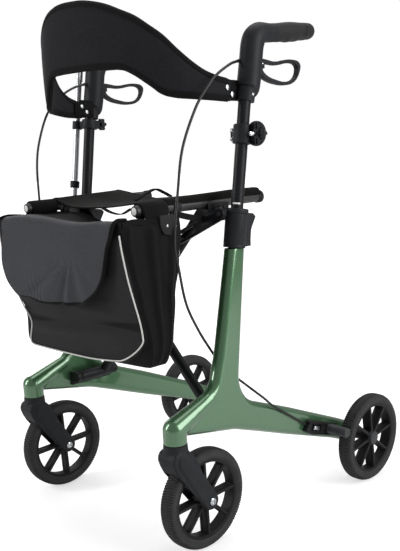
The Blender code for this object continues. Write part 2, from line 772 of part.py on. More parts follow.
def fork_outline():
    """Side view of the caster fork, from the crown to the round end on the axle."""
    tangent = math.degrees(math.atan2(-0.506, -0.863))
    end = arc((0.0, WHEEL_RADIUS), FORK_END_RADIUS, tangent, tangent + 180, 7)
    return [(-0.081, 0.188), (-0.086, 0.180), (-0.074, 0.164), *end, (-0.019, 0.160), (-0.033, 0.186),
            (-0.045, 0.193)]


def caster_fork(label, side):
    half_width = TYRE_WIDTH / 2 + 0.002 + FORK_WALL
    body = plate(f"caster_fork_{label}", [fork_outline()], 2 * half_width, FACING_SIDEWAYS,
                 (side * FRONT_WHEEL_X, 0.0, 0.0))
    soften(body, 0.003, 1)
    centre = (side * FRONT_WHEEL_X, 0.0, WHEEL_RADIUS)
    inner = TYRE_WIDTH / 2 + 0.002
    room = rod("wheel room", (centre[0] - inner, 0.0, WHEEL_RADIUS), (centre[0] + inner, 0.0, WHEEL_RADIUS),
               WHEEL_RADIUS + WHEEL_ROOM, 28)
    axle_room = rod("fork bore", (centre[0] - 0.04, 0.0, WHEEL_RADIUS), (centre[0] + 0.04, 0.0, WHEEL_RADIUS),
                    AXLE_RADIUS + GAP, 12)
    stem = rod("caster stem", (side * FRONT_WHEEL_X, -CASTER_TRAIL, FORK_TOP_Z - 0.004),
               (side * FRONT_WHEEL_X, -CASTER_TRAIL, STEM_TOP_Z), STEM_RADIUS, 16)
    crown = rod("fork crown", (side * FRONT_WHEEL_X, -CASTER_TRAIL, 0.182),
                (side * FRONT_WHEEL_X, -CASTER_TRAIL, FORK_TOP_Z), 0.023, 20, 0.0215)
    join(body, crown, stem)
    cut(body, room, axle_room)
    black_plastic(body)
    move_to(body, (side * FRONT_WHEEL_X, -CASTER_TRAIL, FORK_TOP_Z))


def tyre(name, centre):
    half = TYRE_WIDTH / 2
    bore = WHEEL_RADIUS - TYRE_DEPTH
    profile = [
        (WHEEL_RADIUS, half * 0.5),
        (WHEEL_RADIUS, -half * 0.5),
        (WHEEL_RADIUS - 0.008, -half),
        (bore, -half * 0.78),
        (bore, half * 0.78),
        (WHEEL_RADIUS - 0.008, half),
    ]
    body = turned(name, profile, centre, WHEEL_SIDES)
    rubber(body)


def rim(name, centre, hub_half_width):
    """Ring, spokes and hub in one moulding, seated in the tyre."""
    sides = WHEEL_SIDES
    outer_radius = (WHEEL_RADIUS - TYRE_DEPTH - GAP) / math.cos(math.pi / sides)
    half_step = 180 / sides
    outer = arc((centre[1], centre[2]), outer_radius, half_step, 360 + half_step, sides)[:-1]
    loops = [outer]
    window_outer = WHEEL_RADIUS - TYRE_DEPTH - RIM_WALL
    window_inner = HUB_RADIUS + 0.002
    for spoke in range(SPOKES):
        start = 360 * spoke / SPOKES
        finish = start + 360 / SPOKES
        wide = math.degrees(SPOKE_WIDTH / 2 / window_outer)
        narrow = math.degrees(SPOKE_WIDTH / 2 / window_inner)
        far = arc((centre[1], centre[2]), window_outer, start + wide, finish - wide, 3)
        near = arc((centre[1], centre[2]), window_inner, finish - narrow, start + narrow, 1)
        loops.append(far + near)
    body = plate(name, loops, RIM_WIDTH, FACING_SIDEWAYS, (centre[0], 0.0, 0.0))
    x, y, z = centre
    hub = rod("hub", (x - hub_half_width, y, z), (x + hub_half_width, y, z), HUB_RADIUS, 20)
    bore = rod("hub bore", (x - 0.05, y, z), (x + 0.05, y, z), AXLE_RADIUS + GAP, 12)
    join(body, hub)
    cut(body, bore)
    black_plastic(body)
    move_to(body, centre)


def front_axle(label, side):
    reach = TYRE_WIDTH / 2 + 0.002 + FORK_WALL + GAP
    x = side * FRONT_WHEEL_X
    shaft_half = reach + 0.001
    body = rod(f"front_axle_{label}", (x - shaft_half, 0.0, WHEEL_RADIUS),
               (x + shaft_half, 0.0, WHEEL_RADIUS), AXLE_RADIUS, 12)
    for end in (-1, 1):
        join(body, rod("bolt head", (x + end * reach, 0.0, WHEEL_RADIUS),
                       (x + end * (reach + 0.003), 0.0, WHEEL_RADIUS), BOLT_HEAD_RADIUS, 12))
    silver(body)


def rear_axle(label, side):
    hub_end = side * (REAR_WHEEL_X + RIM_WIDTH / 2 + 0.001 + GAP)
    inner = side * (FRAME_X - FRAME_THICKNESS / 2 - GAP)
    y = WHEELBASE
    z = WHEEL_RADIUS
    body = rod(f"rear_axle_{label}", (inner - side * 0.001, y, z), (hub_end + side * 0.001, y, z),
               AXLE_RADIUS, 12)
    cap = rod("hub cap", (hub_end, y, z), (hub_end + side * 0.002, y, z), HUB_CAP_RADIUS, 16)
    nut = rod("axle nut", (inner - side * 0.006, y, z), (inner, y, z), 0.009, 6)
    spacer = rod("spacer", (side * (FRAME_X + FRAME_THICKNESS / 2 + GAP), y, z),
                 (side * (REAR_WHEEL_X - RIM_WIDTH / 2 - 0.003 - GAP), y, z), 0.010, 12)
    join(body, cap, nut, spacer)
    black_metal(body)


def shoe_direction():
    """Unit vector, along the side view, from the brake shoe to the rear axle."""
    return Vector((WHEELBASE - SHOE_Y, WHEEL_RADIUS - SHOE_Z)).normalized()


def brake_housing(label, side):
    """Moulded box on the outer face of the rear arm; the shoe's bar slides in it."""
    face = FRAME_X + FRAME_THICKNESS / 2 + GAP
    corners = ((-0.074, 0.013, 0.004), (-0.058, 0.031, 0.004), (0.022, 0.002, 0.004), (0.016, -0.019, 0.006),
               (-0.050, -0.001, 0.010))
    outline = rounded([(SHOE_Y + u, SHOE_Z + v, radius) for u, v, radius in corners], 2)
    x = side * (face + HOUSING_THICKNESS / 2)
    body = plate(f"brake_housing_{label}", [outline], HOUSING_THICKNESS, FACING_SIDEWAYS, (x, 0.0, 0.0))
    adjuster = rod("adjuster", (side * (face + HOUSING_THICKNESS), SHOE_Y - 0.052, SHOE_Z + 0.016),
                   (side * (face + HOUSING_THICKNESS), SHOE_Y - 0.028, SHOE_Z + 0.0075), 0.0045, 10)
    join(body, adjuster)
    slot = rounded(shoe_slot(), 2)
    slot_x = side * (face + HOUSING_THICKNESS - 0.003)
    room = plate("shoe slot", [slot], 0.008, FACING_SIDEWAYS, (slot_x, 0.0, 0.0))
    cut(body, room)
    black_plastic(body)


def shoe_slot():
    """Room for the shoe's inner end, longer than the end by its travel."""
    direction = shoe_direction()
    normal = Vector((-direction.y, direction.x))
    centre = Vector((SHOE_Y, SHOE_Z))
    half = 0.0065
    back = centre - direction * half
    front = centre + direction * (half + SHOE_TRAVEL + 0.001)
    corners = (back - normal * half, front - normal * half, front + normal * half, back + normal * half)
    return [(corner.x, corner.y, 0.002) for corner in corners]


def brake_shoe(label, side):
    """Grey roller bar across the tread, carried in the housing's slot."""
    face = FRAME_X + FRAME_THICKNESS / 2 + HOUSING_THICKNESS + 2 * GAP
    body = rod(f"brake_shoe_{label}", (side * face, SHOE_Y, SHOE_Z), (side * SHOE_OUTER_X, SHOE_Y, SHOE_Z),
               SHOE_RADIUS, 16)
    foot = rod("shoe foot", (side * (face - 0.006), SHOE_Y, SHOE_Z), (side * (face + 0.002), SHOE_Y, SHOE_Z),
               0.0055, 12)
    join(body, foot)
    grey_plastic(body)


# Points are (distance across from the middle, y, z)
CABLE_TOPS = {
    "left": [
        (0.2265, 0.133, 0.8605), (0.2265, 0.106, 0.8510), (0.2265, 0.074, 0.8330), (0.2265, 0.048, 0.8090),
        (0.2265, 0.022, 0.7790), (0.2265, -0.011, 0.7170), (0.2265, -0.026, 0.6500), (0.2255, -0.038, 0.5700),
        (0.2245, -0.030, 0.5180), (0.2215, -0.012, 0.4600),
    ],
    "right": [
        (0.2265, 0.133, 0.8610), (0.2265, 0.108, 0.8535), (0.2265, 0.076, 0.8360), (0.2265, 0.039, 0.8010),
        (0.2265, 0.013, 0.7445), (0.2265, 0.003, 0.6990), (0.2265, 0.001, 0.6500), (0.2255, 0.000, 0.5800),
        (0.2245, 0.001, 0.5180), (0.2215, 0.006, 0.4600),
    ],
}
CABLE_FOOT = [
    (0.2155, 0.0190, 0.4120), (0.2062, 0.0440, 0.3700), (0.2040, 0.0780, 0.3340), (0.2040, 0.1070, 0.3060),
    (0.2075, 0.1290, 0.2870), (0.2150, 0.1410, 0.2745), (0.2290, 0.1490, 0.2625), (0.2405, 0.1590, 0.2500),
    (0.2430, 0.1770, 0.2330), (0.2430, 0.2050, 0.2140), (0.2425, 0.2330, 0.1955), (0.2422, 0.2630, 0.1760),
    (0.2422, 0.2840, 0.1620),
]


def brake_cable(label, side):
    """Outer cable from the sleeve, past the post's inner face, over the rear arm and into the housing."""
    route = [(side * across, y, z) for across, y, z in CABLE_TOPS[label] + CABLE_FOOT]
    body = tube(f"brake_cable_{label}", smooth_route(route, 3 * 2 * CABLE_RADIUS), CABLE_RADIUS, 2)
    black_plastic(body)


def fold_bracket(label, side):
    """Two lugs on the frame's inner face and the pin between them."""
    face = FRAME_X - FRAME_THICKNESS / 2 - GAP
    body = rod(f"fold_bracket_{label}", (side * FOLD_PIVOT_X, FOLD_LUG_FRONT_Y, FOLD_PIVOT_Z),
               (side * FOLD_PIVOT_X, FOLD_LUG_REAR_Y, FOLD_PIVOT_Z), FOLD_PIN_RADIUS, 12)
    for y in (FOLD_LUG_FRONT_Y, FOLD_LUG_REAR_Y):
        outline = [(side * u, v) for u, v in
                   [(face, 0.228), (face, 0.272), *arc((FOLD_PIVOT_X, FOLD_PIVOT_Z), 0.013, 100, 260, 6)]]
        lug = plate("lug", [outline], FOLD_LUG_WIDTH, FACING_FRONT, (0.0, y, 0.0))
        join(body, lug)
    foot = block("bracket foot", (0.004, FOLD_LUG_REAR_Y - FOLD_LUG_FRONT_Y + FOLD_LUG_WIDTH, 0.020),
                 (side * (face - 0.002), (FOLD_LUG_FRONT_Y + FOLD_LUG_REAR_Y) / 2, 0.238))
    join(body, foot)
    black_metal(body)


def brace(name, side, y, cradle_length):
    """Bar from the lower pivot on one side to the seat tube on the other, with its two end castings."""
    low = (side * FOLD_PIVOT_X, y, FOLD_PIVOT_Z)
    top_z = seat_tube_z(y)
    top_x = -side * SEAT_TUBE_X
    body = rod(name, low, (top_x + side * 0.006, y, top_z - 0.006), BRACE_RADIUS, 16)
    sleeve_half = (FOLD_LUG_REAR_Y - FOLD_LUG_FRONT_Y - FOLD_LUG_WIDTH) / 2 - GAP
    sleeve_y = (FOLD_LUG_REAR_Y + FOLD_LUG_FRONT_Y) / 2
    sleeve = rod("pivot sleeve", (low[0], sleeve_y - sleeve_half, low[2]),
                 (low[0], sleeve_y + sleeve_half, low[2]), 0.012, 16)
    hub = rod("centre hub", (0.0, y - 0.011, CENTRE_PIVOT_Z), (0.0, y + 0.011, CENTRE_PIVOT_Z), 0.014, 16)
    cradle_outline = [(top_x - side * u, top_z + v) for u, v in CRADLE_CORNERS]
    cradle = plate("seat casting", [cradle_outline], cradle_length, FACING_FRONT,
                   (0.0, y - CRADLE_FRONT + cradle_length / 2, 0.0))
    soften(cradle, 0.003, 1)
    link_y = link_plane_y(-side)
    reach = link_y + (1 if link_y > y else -1) * (LINK_THICKNESS / 2 + 0.001)
    pin = rod("guide pin", (-side * LINK_PIN_X, y, LINK_PIN_Z), (-side * LINK_PIN_X, reach, LINK_PIN_Z),
              LINK_PIN_RADIUS, 12)
    join(body, sleeve, hub, cradle, pin)
    pin_room = rod("pivot bore", (low[0], FOLD_LUG_FRONT_Y, low[2]), (low[0], FOLD_LUG_REAR_Y, low[2]),
                   FOLD_PIN_RADIUS + GAP, 12)
    bolt_room = rod("centre bore", (0.0, y - 0.02, CENTRE_PIVOT_Z), (0.0, y + 0.02, CENTRE_PIVOT_Z),
                    CENTRE_BOLT_RADIUS + GAP, 12)
    tube_room = seat_tube_shape("tube cradle", -side, SEAT_TUBE_RADIUS + GAP, 0.0)
    cut(body, pin_room, bolt_room, tube_room)
    black_metal(body)


def centre_bolt():
    """Bolt and spacer where the two braces cross."""
    front = BRACE_A_Y - 0.011 - GAP
    rear = BRACE_B_Y + 0.011 + GAP
    z = CENTRE_PIVOT_Z
    body = rod("centre_bolt", (0.0, front - 0.001, z), (0.0, rear + 0.001, z), CENTRE_BOLT_RADIUS, 12)
    spacer = rod("spacer", (0.0, BRACE_A_Y + 0.011 + GAP, z), (0.0, BRACE_B_Y - 0.011 - GAP, z), 0.008, 12)
    head = rod("bolt head", (0.0, front - 0.004, z), (0.0, front, z), 0.008, 12)
    nut = rod("nut", (0.0, rear, z), (0.0, rear + 0.005, z), 0.008, 6)
    join(body, spacer, head, nut)
    silver(body)


def link_plane_y(side):
    """The two guide links run side by side between the planes of the braces."""
    return (BRACE_A_Y + BRACE_B_Y) / 2 - 0.0015 + side * LINK_SPACING


def guide_link(label, side):
    """Slotted bar on the collar's arm; the brace's pin runs in its slot."""
    away = Vector((LINK_PIN_X - LINK_COLLAR_X, LINK_PIN_Z - LINK_COLLAR_Z))
    rest = away.length
    along = away.normalized()
    angle = math.degrees(math.atan2(along.y, along.x))
    start = (LINK_COLLAR_X, LINK_COLLAR_Z)
    far = rest + 0.004
    near = 0.074
    finish = (start[0] + along.x * far, start[1] + along.y * far)
    slot_start = (start[0] + along.x * near, start[1] + along.y * near)
    outer = (arc(finish, LINK_HALF_WIDTH, angle - 90, angle + 90, 8)
             + arc(start, LINK_HALF_WIDTH, angle + 90, angle + 270, 8))
    half_slot = LINK_SLOT_WIDTH / 2
    slot = (arc(finish, half_slot, angle - 90, angle + 90, 6)
            + arc(slot_start, half_slot, angle + 90, angle + 270, 6))
    eye = arc(start, LINK_EYE_RADIUS + GAP, 0, 360, 12)[:-1]
    loops = [[(side * u, v) for u, v in loop] for loop in (outer, slot, eye)]
    body = plate(f"guide_link_{label}", loops, LINK_THICKNESS, FACING_FRONT, (0.0, link_plane_y(side), 0.0))
    black_metal(body)
    move_to(body, (side * LINK_COLLAR_X, link_plane_y(side), LINK_COLLAR_Z))


def seat_tube_shape(name, side, radius, extra):
    start = (side * SEAT_TUBE_X, SEAT_TUBE_FRONT_Y - extra, seat_tube_z(SEAT_TUBE_FRONT_Y - extra))
    end = (side * SEAT_TUBE_X, SEAT_TUBE_REAR_Y + extra, seat_tube_z(SEAT_TUBE_REAR_Y + extra))
    return rod(name, start, end, radius, 20)


def seat_tube(label, side):
    body = seat_tube_shape(f"seat_tube_{label}", side, SEAT_TUBE_RADIUS, 0.0)
    rear = (side * SEAT_TUBE_X, SEAT_TUBE_REAR_Y, seat_tube_z(SEAT_TUBE_REAR_Y))
    cap = rod("rear cap", (rear[0], rear[1] - 0.006, rear[2]), (rear[0], rear[1] + 0.004, rear[2]),
              SEAT_TUBE_RADIUS + 0.002, 20)
    join(body, cap)
    black_metal(body)


def seat_front_bracket(label, side):
    """Hanging bracket under the seat tube, behind the bag, with a bolt through it."""
    middle = (BRACKET_FRONT_Y + BRACKET_REAR_Y) / 2
    depth = BRACKET_REAR_Y - BRACKET_FRONT_Y
    z = seat_tube_z(middle)
    body = block(f"seat_bracket_{label}", (0.016, depth, 0.036), (side * SEAT_TUBE_X, middle, z - 0.027))
    soften(body, 0.003, 1)
    bolt = rod("bracket bolt", (side * (SEAT_TUBE_X - 0.011), middle, z - 0.034),
               (side * (SEAT_TUBE_X + 0.011), middle, z - 0.034), 0.004, 10)
    tube_room = seat_tube_shape("tube seat", side, SEAT_TUBE_RADIUS + GAP, 0.0)
    join(body, bolt)
    cut(body, tube_room)
    black_plastic(body)


def seat_height(x, y):
    """Top of the seat cloth: over the tubes and sagging between them, with shallow folds."""
    share = abs(x) / SEAT_TUBE_X
    wrap = SEAT_TUBE_RADIUS + CLOTH + 4 * GAP
    over_tube = seat_tube_z(y) + wrap
    if share >= 1:
        return seat_tube_z(y) + math.sqrt(wrap ** 2 - (abs(x) - SEAT_TUBE_X) ** 2)
    sag = SEAT_SAG * (1 - share ** 1.6)
    fold = 0.0022 * math.sin(y * 70) * (1 - share) * share * 4
    return over_tube - sag + fold


def seat_cloth():
    """Cloth sling between the seat tubes."""
    columns = 22
    rows = 8
    half_width = SEAT_TUBE_X + 0.010
    mesh = bpy.data.meshes.new("seat_cloth")
    shape = bmesh.new()
    bmesh.ops.create_grid(shape, x_segments=columns, y_segments=rows, size=0.5)
    for vertex in shape.verts:
        x = half_width * math.sin(vertex.co.x * math.pi)
        y = SEAT_FRONT_Y + (vertex.co.y + 0.5) * (SEAT_REAR_Y - SEAT_FRONT_Y)
        vertex.co = (x, y, seat_height(x, y))
    shape.to_mesh(mesh)
    shape.free()
    body = link_object(mesh, "seat_cloth")
    thick = body.modifiers.new("cloth", "SOLIDIFY")
    thick.thickness = CLOTH
    thick.offset = -1.0
    cloth(body)
    move_to(body, (-SEAT_TUBE_X, 0.0, SEAT_TUBE_Z))


def pull_strap():
    """Loop on the middle of the seat that is pulled up to fold the frame."""
    half_length = 0.0465
    y = SEAT_REAR_Y - half_length
    ends = (seat_height(0.0, y - half_length), seat_height(0.0, y + half_length))
    base = max(ends) + PULL_STRAP_RADIUS + 3 * GAP
    points = []
    for step in range(13):
        share = step / 12
        rise = PULL_STRAP_RISE * math.sin(math.pi * share) ** 0.8
        points.append((0.0, y - half_length + 2 * half_length * share, base + rise))
    body = tube("pull_strap", points, PULL_STRAP_RADIUS, 2)
    cloth(body)
    move_to(body, (-SEAT_TUBE_X, 0.0, SEAT_TUBE_Z))


def band_top(t):
    """Height of the band's upper edge at a plan angle: low at the handles and peaked in the middle."""
    rise = math.sin(math.radians(t))
    return 0.826 + 0.146 * (0.72 * rise ** 1.6 + 0.28 * min(t, 180 - t) / 90)


def band_bottom(t):
    """Height of the band's lower edge, which steps up on its way to the middle."""
    share = min(max((min(t, 180 - t) - 26) / 50, 0.0), 1.0)
    return 0.792 + 0.063 * share * share * (3 - 2 * share)


def band_plan(t):
    """Plan curve of the backrest: a square-shouldered half ellipse in front of the handles."""
    angle = math.radians(t)
    cosine = math.cos(angle)
    x = BACKREST_HALF_WIDTH * math.copysign(abs(cosine) ** BACKREST_SQUARENESS, cosine)
    return Vector((x, BACKREST_END_Y - BACKREST_DEPTH * abs(math.sin(angle)) ** BACKREST_SQUARENESS))


def backrest():
    """Padded band, thickest along its middle line."""
    rings = []
    steps = 30
    for step in range(steps + 1):
        t = 180 * step / steps
        plan = band_plan(t)
        tangent = (band_plan(min(t + 0.5, 180)) - band_plan(max(t - 0.5, 0))).normalized()
        normal = Vector((tangent.y, -tangent.x))
        low = band_bottom(t)
        high = band_top(t)
        middle_half = BACKREST_THICKNESS / 2
        plump = BACKREST_END_HALF + (middle_half - BACKREST_END_HALF) * math.sin(math.radians(t)) ** 0.5
        ring = []
        for turn in range(12):
            angle = 2 * math.pi * turn / 12
            lift = math.copysign(abs(math.sin(angle)) ** 0.75, math.sin(angle))
            bulge = math.copysign(abs(math.cos(angle)) ** 0.6, math.cos(angle))
            offset = plan + normal * bulge * plump
            ring.append((offset.x, offset.y, (low + high) / 2 + (high - low) / 2 * lift))
        rings.append(ring)
    body = loft("backrest", rings)
    for side in (-1, 1):
        for y, z in RIVET_PLACES:
            cut(body, rod("rivet hole", (side * (BACKREST_HALF_WIDTH - 0.0125), y, z),
                          (side * (BACKREST_HALF_WIDTH + 0.0125), y, z), RIVET_RADIUS + GAP, 8))
    cloth(body)


def backrest_bracket(label, side):
    """Plate inside the band's end with a saddle on the sleeve, and two rivets through the band."""
    thickness = 0.003
    front = 0.0925
    rear = 0.138
    share = ((BACKREST_END_Y - front) / BACKREST_DEPTH) ** (1 / BACKREST_SQUARENESS)
    inner = band_plan(math.degrees(math.asin(share))).x - BACKREST_END_HALF - 0.00177
    plate_x = side * (inner - thickness / 2)
    body = block(f"backrest_bracket_{label}", (thickness, rear - front, 0.028),
                 (plate_x, (front + rear) / 2, 0.810))
    saddle_width = 0.028
    saddle = block("saddle", (saddle_width, 0.016, 0.024),
                   (side * (inner - thickness + saddle_width / 2), 0.133, 0.809))
    join(body, saddle)
    cut(body, sleeve_shape("sleeve room", side, GAP))
    head_x = side * (BACKREST_HALF_WIDTH + BACKREST_END_HALF + 0.0025)
    for y, z in RIVET_PLACES:
        shaft = rod("rivet", (plate_x, y, z), (head_x, y, z), RIVET_RADIUS, 8)
        head = rod("rivet head", (head_x - side * 0.0015, y, z), (head_x, y, z), 0.0038, 10)
        join(body, shaft, head)
    black_plastic(body)


def bag_ring(z, inset, wall):
    """Plan of the bag at a height: a rectangle with round corners, drawn in below on the right."""
    half_x = BAG_HALF_WIDTH - inset - wall
    hang = BAG_LEAN * min(max((BAG_TOP_Z - z) / (BAG_TOP_Z - BAG_BOTTOM_Z), 0.0), 1.0)
    front = BAG_FRONT_Y + inset + wall
    rear = BAG_REAR_Y - inset - wall
    radius = max(0.026 - wall, 0.004)
    right = hang - half_x
    corners = [(right, front, radius), (half_x, front, radius), (half_x, rear, radius), (right, rear, radius)]
    return [(x, y, z) for x, y in rounded(corners, 4)]


def bag():
    """Bag body with its mouth at the front of the top, and two loops around the seat tubes."""
    heights = [(BAG_BOTTOM_Z, 0.024), (BAG_BOTTOM_Z + 0.012, 0.009), (0.400, 0.004), (0.470, 0.0),
               (0.540, 0.002), (BAG_TOP_Z, 0.004)]
    body = loft("bag", [bag_ring(z, inset, 0.0) for z, inset in heights])
    inside = [(BAG_BOTTOM_Z + BAG_WALL, 0.024), (BAG_BOTTOM_Z + 0.016, 0.009), (0.400, 0.004), (0.470, 0.0),
              (0.540, 0.002), (BAG_TOP_Z - BAG_WALL, 0.004)]
    hollow = loft("bag inside", [bag_ring(z, inset, BAG_WALL) for z, inset in inside])
    mouth = block("bag mouth", (2 * (BAG_HALF_WIDTH - 0.030), 0.034, 0.030),
                  (0.0, BAG_FRONT_Y + 0.010 + 0.017, BAG_TOP_Z))
    for side in (-1, 1):
        y = -0.037
        z = seat_tube_z(y)
        strap = rod("bag loop", (side * SEAT_TUBE_X, y - 0.025, z), (side * SEAT_TUBE_X, y + 0.025, z),
                    SEAT_TUBE_RADIUS + BAG_WALL, 16)
        tab = block("bag tab", (0.006, 0.050, 0.042), (side * (SEAT_TUBE_X + 0.0155), y, BAG_TOP_Z + 0.006))
        join(body, strap, tab)
    cut(body, hollow, mouth)
    for side in (-1, 1):
        cut(body, seat_tube_shape("loop room", side, SEAT_TUBE_RADIUS + 0.0006, 0.02))
    cloth(body)
    move_to(body, (-SEAT_TUBE_X, 0.0, SEAT_TUBE_Z))


def bag_flap():
    """Flap over the mouth and down the front of the bag."""
    x = (FLAP_LEFT_X + FLAP_RIGHT_X) / 2
    width = FLAP_LEFT_X - FLAP_RIGHT_X
    front = BAG_FRONT_Y - GAP - 0.0005
    top = BAG_TOP_Z + GAP
    thick = 0.003
    outline = [(FLAP_HINGE_Y, top), (front, top), (front, FLAP_BOTTOM_Z), (front - thick, FLAP_BOTTOM_Z),
               (front - thick, top - 0.004), (front - 0.001, top + thick), (FLAP_HINGE_Y, top + thick)]
    body = plate("bag_flap", [outline], width, FACING_SIDEWAYS, (x, 0.0, 0.0))
    cloth(body)
    move_to(body, (x, FLAP_HINGE_Y, top))


def stick_y(z):
    return lean_y(z) - 0.008


def walking_stick():
    """Slim stick beside the right handle tube: shaft, joint ring and handle lug."""
    low = (STICK_X, stick_y(STICK_FOOT_Z), STICK_FOOT_Z)
    high = (STICK_X, stick_y(STICK_TOP_Z), STICK_TOP_Z)
    body = rod("walking_stick", low, high, STICK_RADIUS, 12)
    ring = rod("stick joint", (STICK_X, stick_y(0.648), 0.648), (STICK_X, stick_y(0.664), 0.664),
               STICK_RING_RADIUS, 16)
    lug = rod("stick lug", (STICK_X, stick_y(STICK_TOP_Z - 0.03), STICK_TOP_Z - 0.03),
              (STICK_X, stick_y(STICK_TOP_Z + 0.004), STICK_TOP_Z + 0.004), 0.0075, 12)
    join(body, ring, lug)
    silver(body)


def stick_cup():
    """Cup on the outer face of the right post that the stick's foot stands in."""
    z = STICK_FOOT_Z
    bottom = (STICK_X, stick_y(z - 0.006), z - 0.006)
    body = rod("stick_cup", bottom, (STICK_X, stick_y(z + 0.030), z + 0.030), 0.0098, 16)
    face = -(FRAME_X + FRAME_THICKNESS / 2 + GAP)
    reach = face - STICK_X - STICK_RADIUS - 2 * GAP
    foot = block("cup foot", (reach, 0.014, 0.026), (face - reach / 2, stick_y(z + 0.012), z + 0.012))
    room = rod("cup bore", (STICK_X, stick_y(z - GAP), z - GAP), (STICK_X, stick_y(z + 0.05), z + 0.05),
               STICK_RADIUS + GAP, 12)
    join(body, foot)
    cut(body, room)
    black_plastic(body)


def start():
    global PARTS, CUTTERS, ROOT
    for obj in list(bpy.data.objects):
        bpy.data.objects.remove(obj, do_unlink=True)
    PARTS = bpy.data.collections.new("rollator")
    CUTTERS = bpy.data.collections.new("cutters")
    bpy.context.scene.collection.children.link(PARTS)
    bpy.context.scene.collection.children.link(CUTTERS)
    ROOT = bpy.data.objects.new("front_axle_line", None)
    ROOT.location = (0.0, FRONT_AXLE_Y, 0.0)
    PARTS.objects.link(ROOT)


def build():
    start()
    for label, side in SIDES:
        side_frame(label, side)
        collar(label, side)
        quick_release_lever(label, side)
        handle_tube(label, side)
        handle_sleeve(label, side)
        grip(label, side)
        brake_lever(label, side)
        caster_fork(label, side)
        front = (side * FRONT_WHEEL_X, 0.0, WHEEL_RADIUS)
        tyre(f"front_tyre_{label}", front)
        rim(f"front_rim_{label}", front, TYRE_WIDTH / 2 + 0.0012)
        front_axle(label, side)
        rear = (side * REAR_WHEEL_X, WHEELBASE, WHEEL_RADIUS)
        tyre(f"rear_tyre_{label}", rear)
        rim(f"rear_rim_{label}", rear, RIM_WIDTH / 2 + 0.001)
        rear_axle(label, side)
        brake_housing(label, side)
        brake_shoe(label, side)
        brake_cable(label, side)
        fold_bracket(label, side)
        seat_tube(label, side)
        guide_link(label, side)
        seat_front_bracket(label, side)
        backrest_bracket(label, side)
    stick_clip_left()
    stick_clip_right()
    clip_knobs()
    brace("brace_a", 1, BRACE_A_Y, 0.0245)
    brace("brace_b", -1, BRACE_B_Y, 0.053)
    centre_bolt()
    seat_cloth()
    pull_strap()
    backrest()
    bag()
    bag_flap()
    walking_stick()
    stick_cup()


build()
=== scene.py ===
"""The looks of a folding rollator: lacquered side frames, cross brace, sling seat, backrest strap and bag.

Lengths are in metres, +Z is up and +X is the user's left. Points are given with y counted backwards from
the front axle, and at() turns them into places in the model. Left pieces are made first and mirrored.
"""

import math

import bpy
from mathutils import Matrix, Vector


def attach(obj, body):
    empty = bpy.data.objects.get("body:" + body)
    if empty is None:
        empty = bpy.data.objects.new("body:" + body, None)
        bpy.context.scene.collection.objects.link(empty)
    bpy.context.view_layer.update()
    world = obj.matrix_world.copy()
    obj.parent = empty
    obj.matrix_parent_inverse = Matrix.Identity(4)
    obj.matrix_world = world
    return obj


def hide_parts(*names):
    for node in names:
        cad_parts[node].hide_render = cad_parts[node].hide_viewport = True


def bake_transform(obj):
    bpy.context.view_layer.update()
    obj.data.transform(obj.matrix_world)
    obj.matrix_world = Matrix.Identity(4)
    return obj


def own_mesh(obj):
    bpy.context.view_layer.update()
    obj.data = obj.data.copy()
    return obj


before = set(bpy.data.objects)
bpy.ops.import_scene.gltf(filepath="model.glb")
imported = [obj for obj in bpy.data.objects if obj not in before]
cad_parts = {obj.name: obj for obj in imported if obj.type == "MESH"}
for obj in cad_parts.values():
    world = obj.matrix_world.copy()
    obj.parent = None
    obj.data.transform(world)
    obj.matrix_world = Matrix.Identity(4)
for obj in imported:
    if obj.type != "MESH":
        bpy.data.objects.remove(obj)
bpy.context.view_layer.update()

# The two sides with their signs, and the brace that each seat tube is fixed to
SIDES = (("left", 1), ("right", -1))
RAIL_BODY = {"left": "brace_b", "right": "brace_a"}

# Sizes shared with the frame
FRONT_AXLE_Y = -0.2121
FRAME_X = 0.2245
FRAME_THICKNESS = 0.028
WHEELBASE = 0.452
GAP = 0.0003
WHEEL_RADIUS = 0.096
TYRE_WIDTH = 0.032
TYRE_BORE = 0.0760
TREAD_NOTCHES = 120
RIM_WIDTH = 0.025
HUB_RADIUS = 0.017
SPOKES = 8
REAR_WHEEL_X = 0.284
SHOE_Y = 0.350
SHOE_Z = 0.137
SHOE_END_X = 0.300
CASTER_TRAIL = 0.0605
HEAD_RADIUS = 0.021
HEAD_FOOT_Z = 0.2220
FORK_TOP_Z = 0.2205
FORK_HALF_WIDTH = 0.025
WHEEL_ROOM = 0.018
LEAN = 0.155
LEAN_TOP = (0.116, 0.611)
POST_TOP_Z = 0.543
LEVER_PIVOT_Z = POST_TOP_Z + 0.010
LEVER_PIVOT_BACK = 0.0275
HANDLE_TUBE_RADIUS = 0.0111
SLEEVE_BOTTOM_Z = 0.793
GRIP_START_Y = 0.221
GRIP_START_Z = 0.9100
GRIP_SLOPE = 0.105
FINGER_WIDTH = 0.024
BRAKE_PIVOT_Y = 0.186
BRAKE_PIVOT_Z = 0.856
CLAMP_Z = 0.738
HOOK_CLIP_Z = 0.7805
SEAT_TUBE_X = 0.165
SEAT_TUBE_RADIUS = 0.0100
SEAT_TUBE_FRONT_Y = -0.071
SEAT_TUBE_REAR_Y = 0.242
SEAT_FRONT_Y = -0.004
SEAT_DEPTH = 0.162
SEAT_TUBE_FRONT_Z = 0.619
SEAT_TUBE_RISE = 0.006
FOLD_PIVOT_X = 0.190
FOLD_PIVOT_Z = 0.248
CENTRE_PIVOT_Z = 0.447
BRACE_RADIUS = 0.010
BRACE_A_Y = 0.058
BRACE_B_Y = 0.102
LINK_COLLAR_X = 0.2145
LINK_COLLAR_Z = 0.6045
LINK_PIN_X = 0.105
LINK_PIN_Z = 0.557
STICK_X = -0.2585
STICK_FORWARD = 0.008
STICK_FOOT_Z = 0.340
BACKREST_HALF_WIDTH = 0.2125
BAG_HALF_WIDTH = 0.190
BAG_FRONT_Y = -0.1205
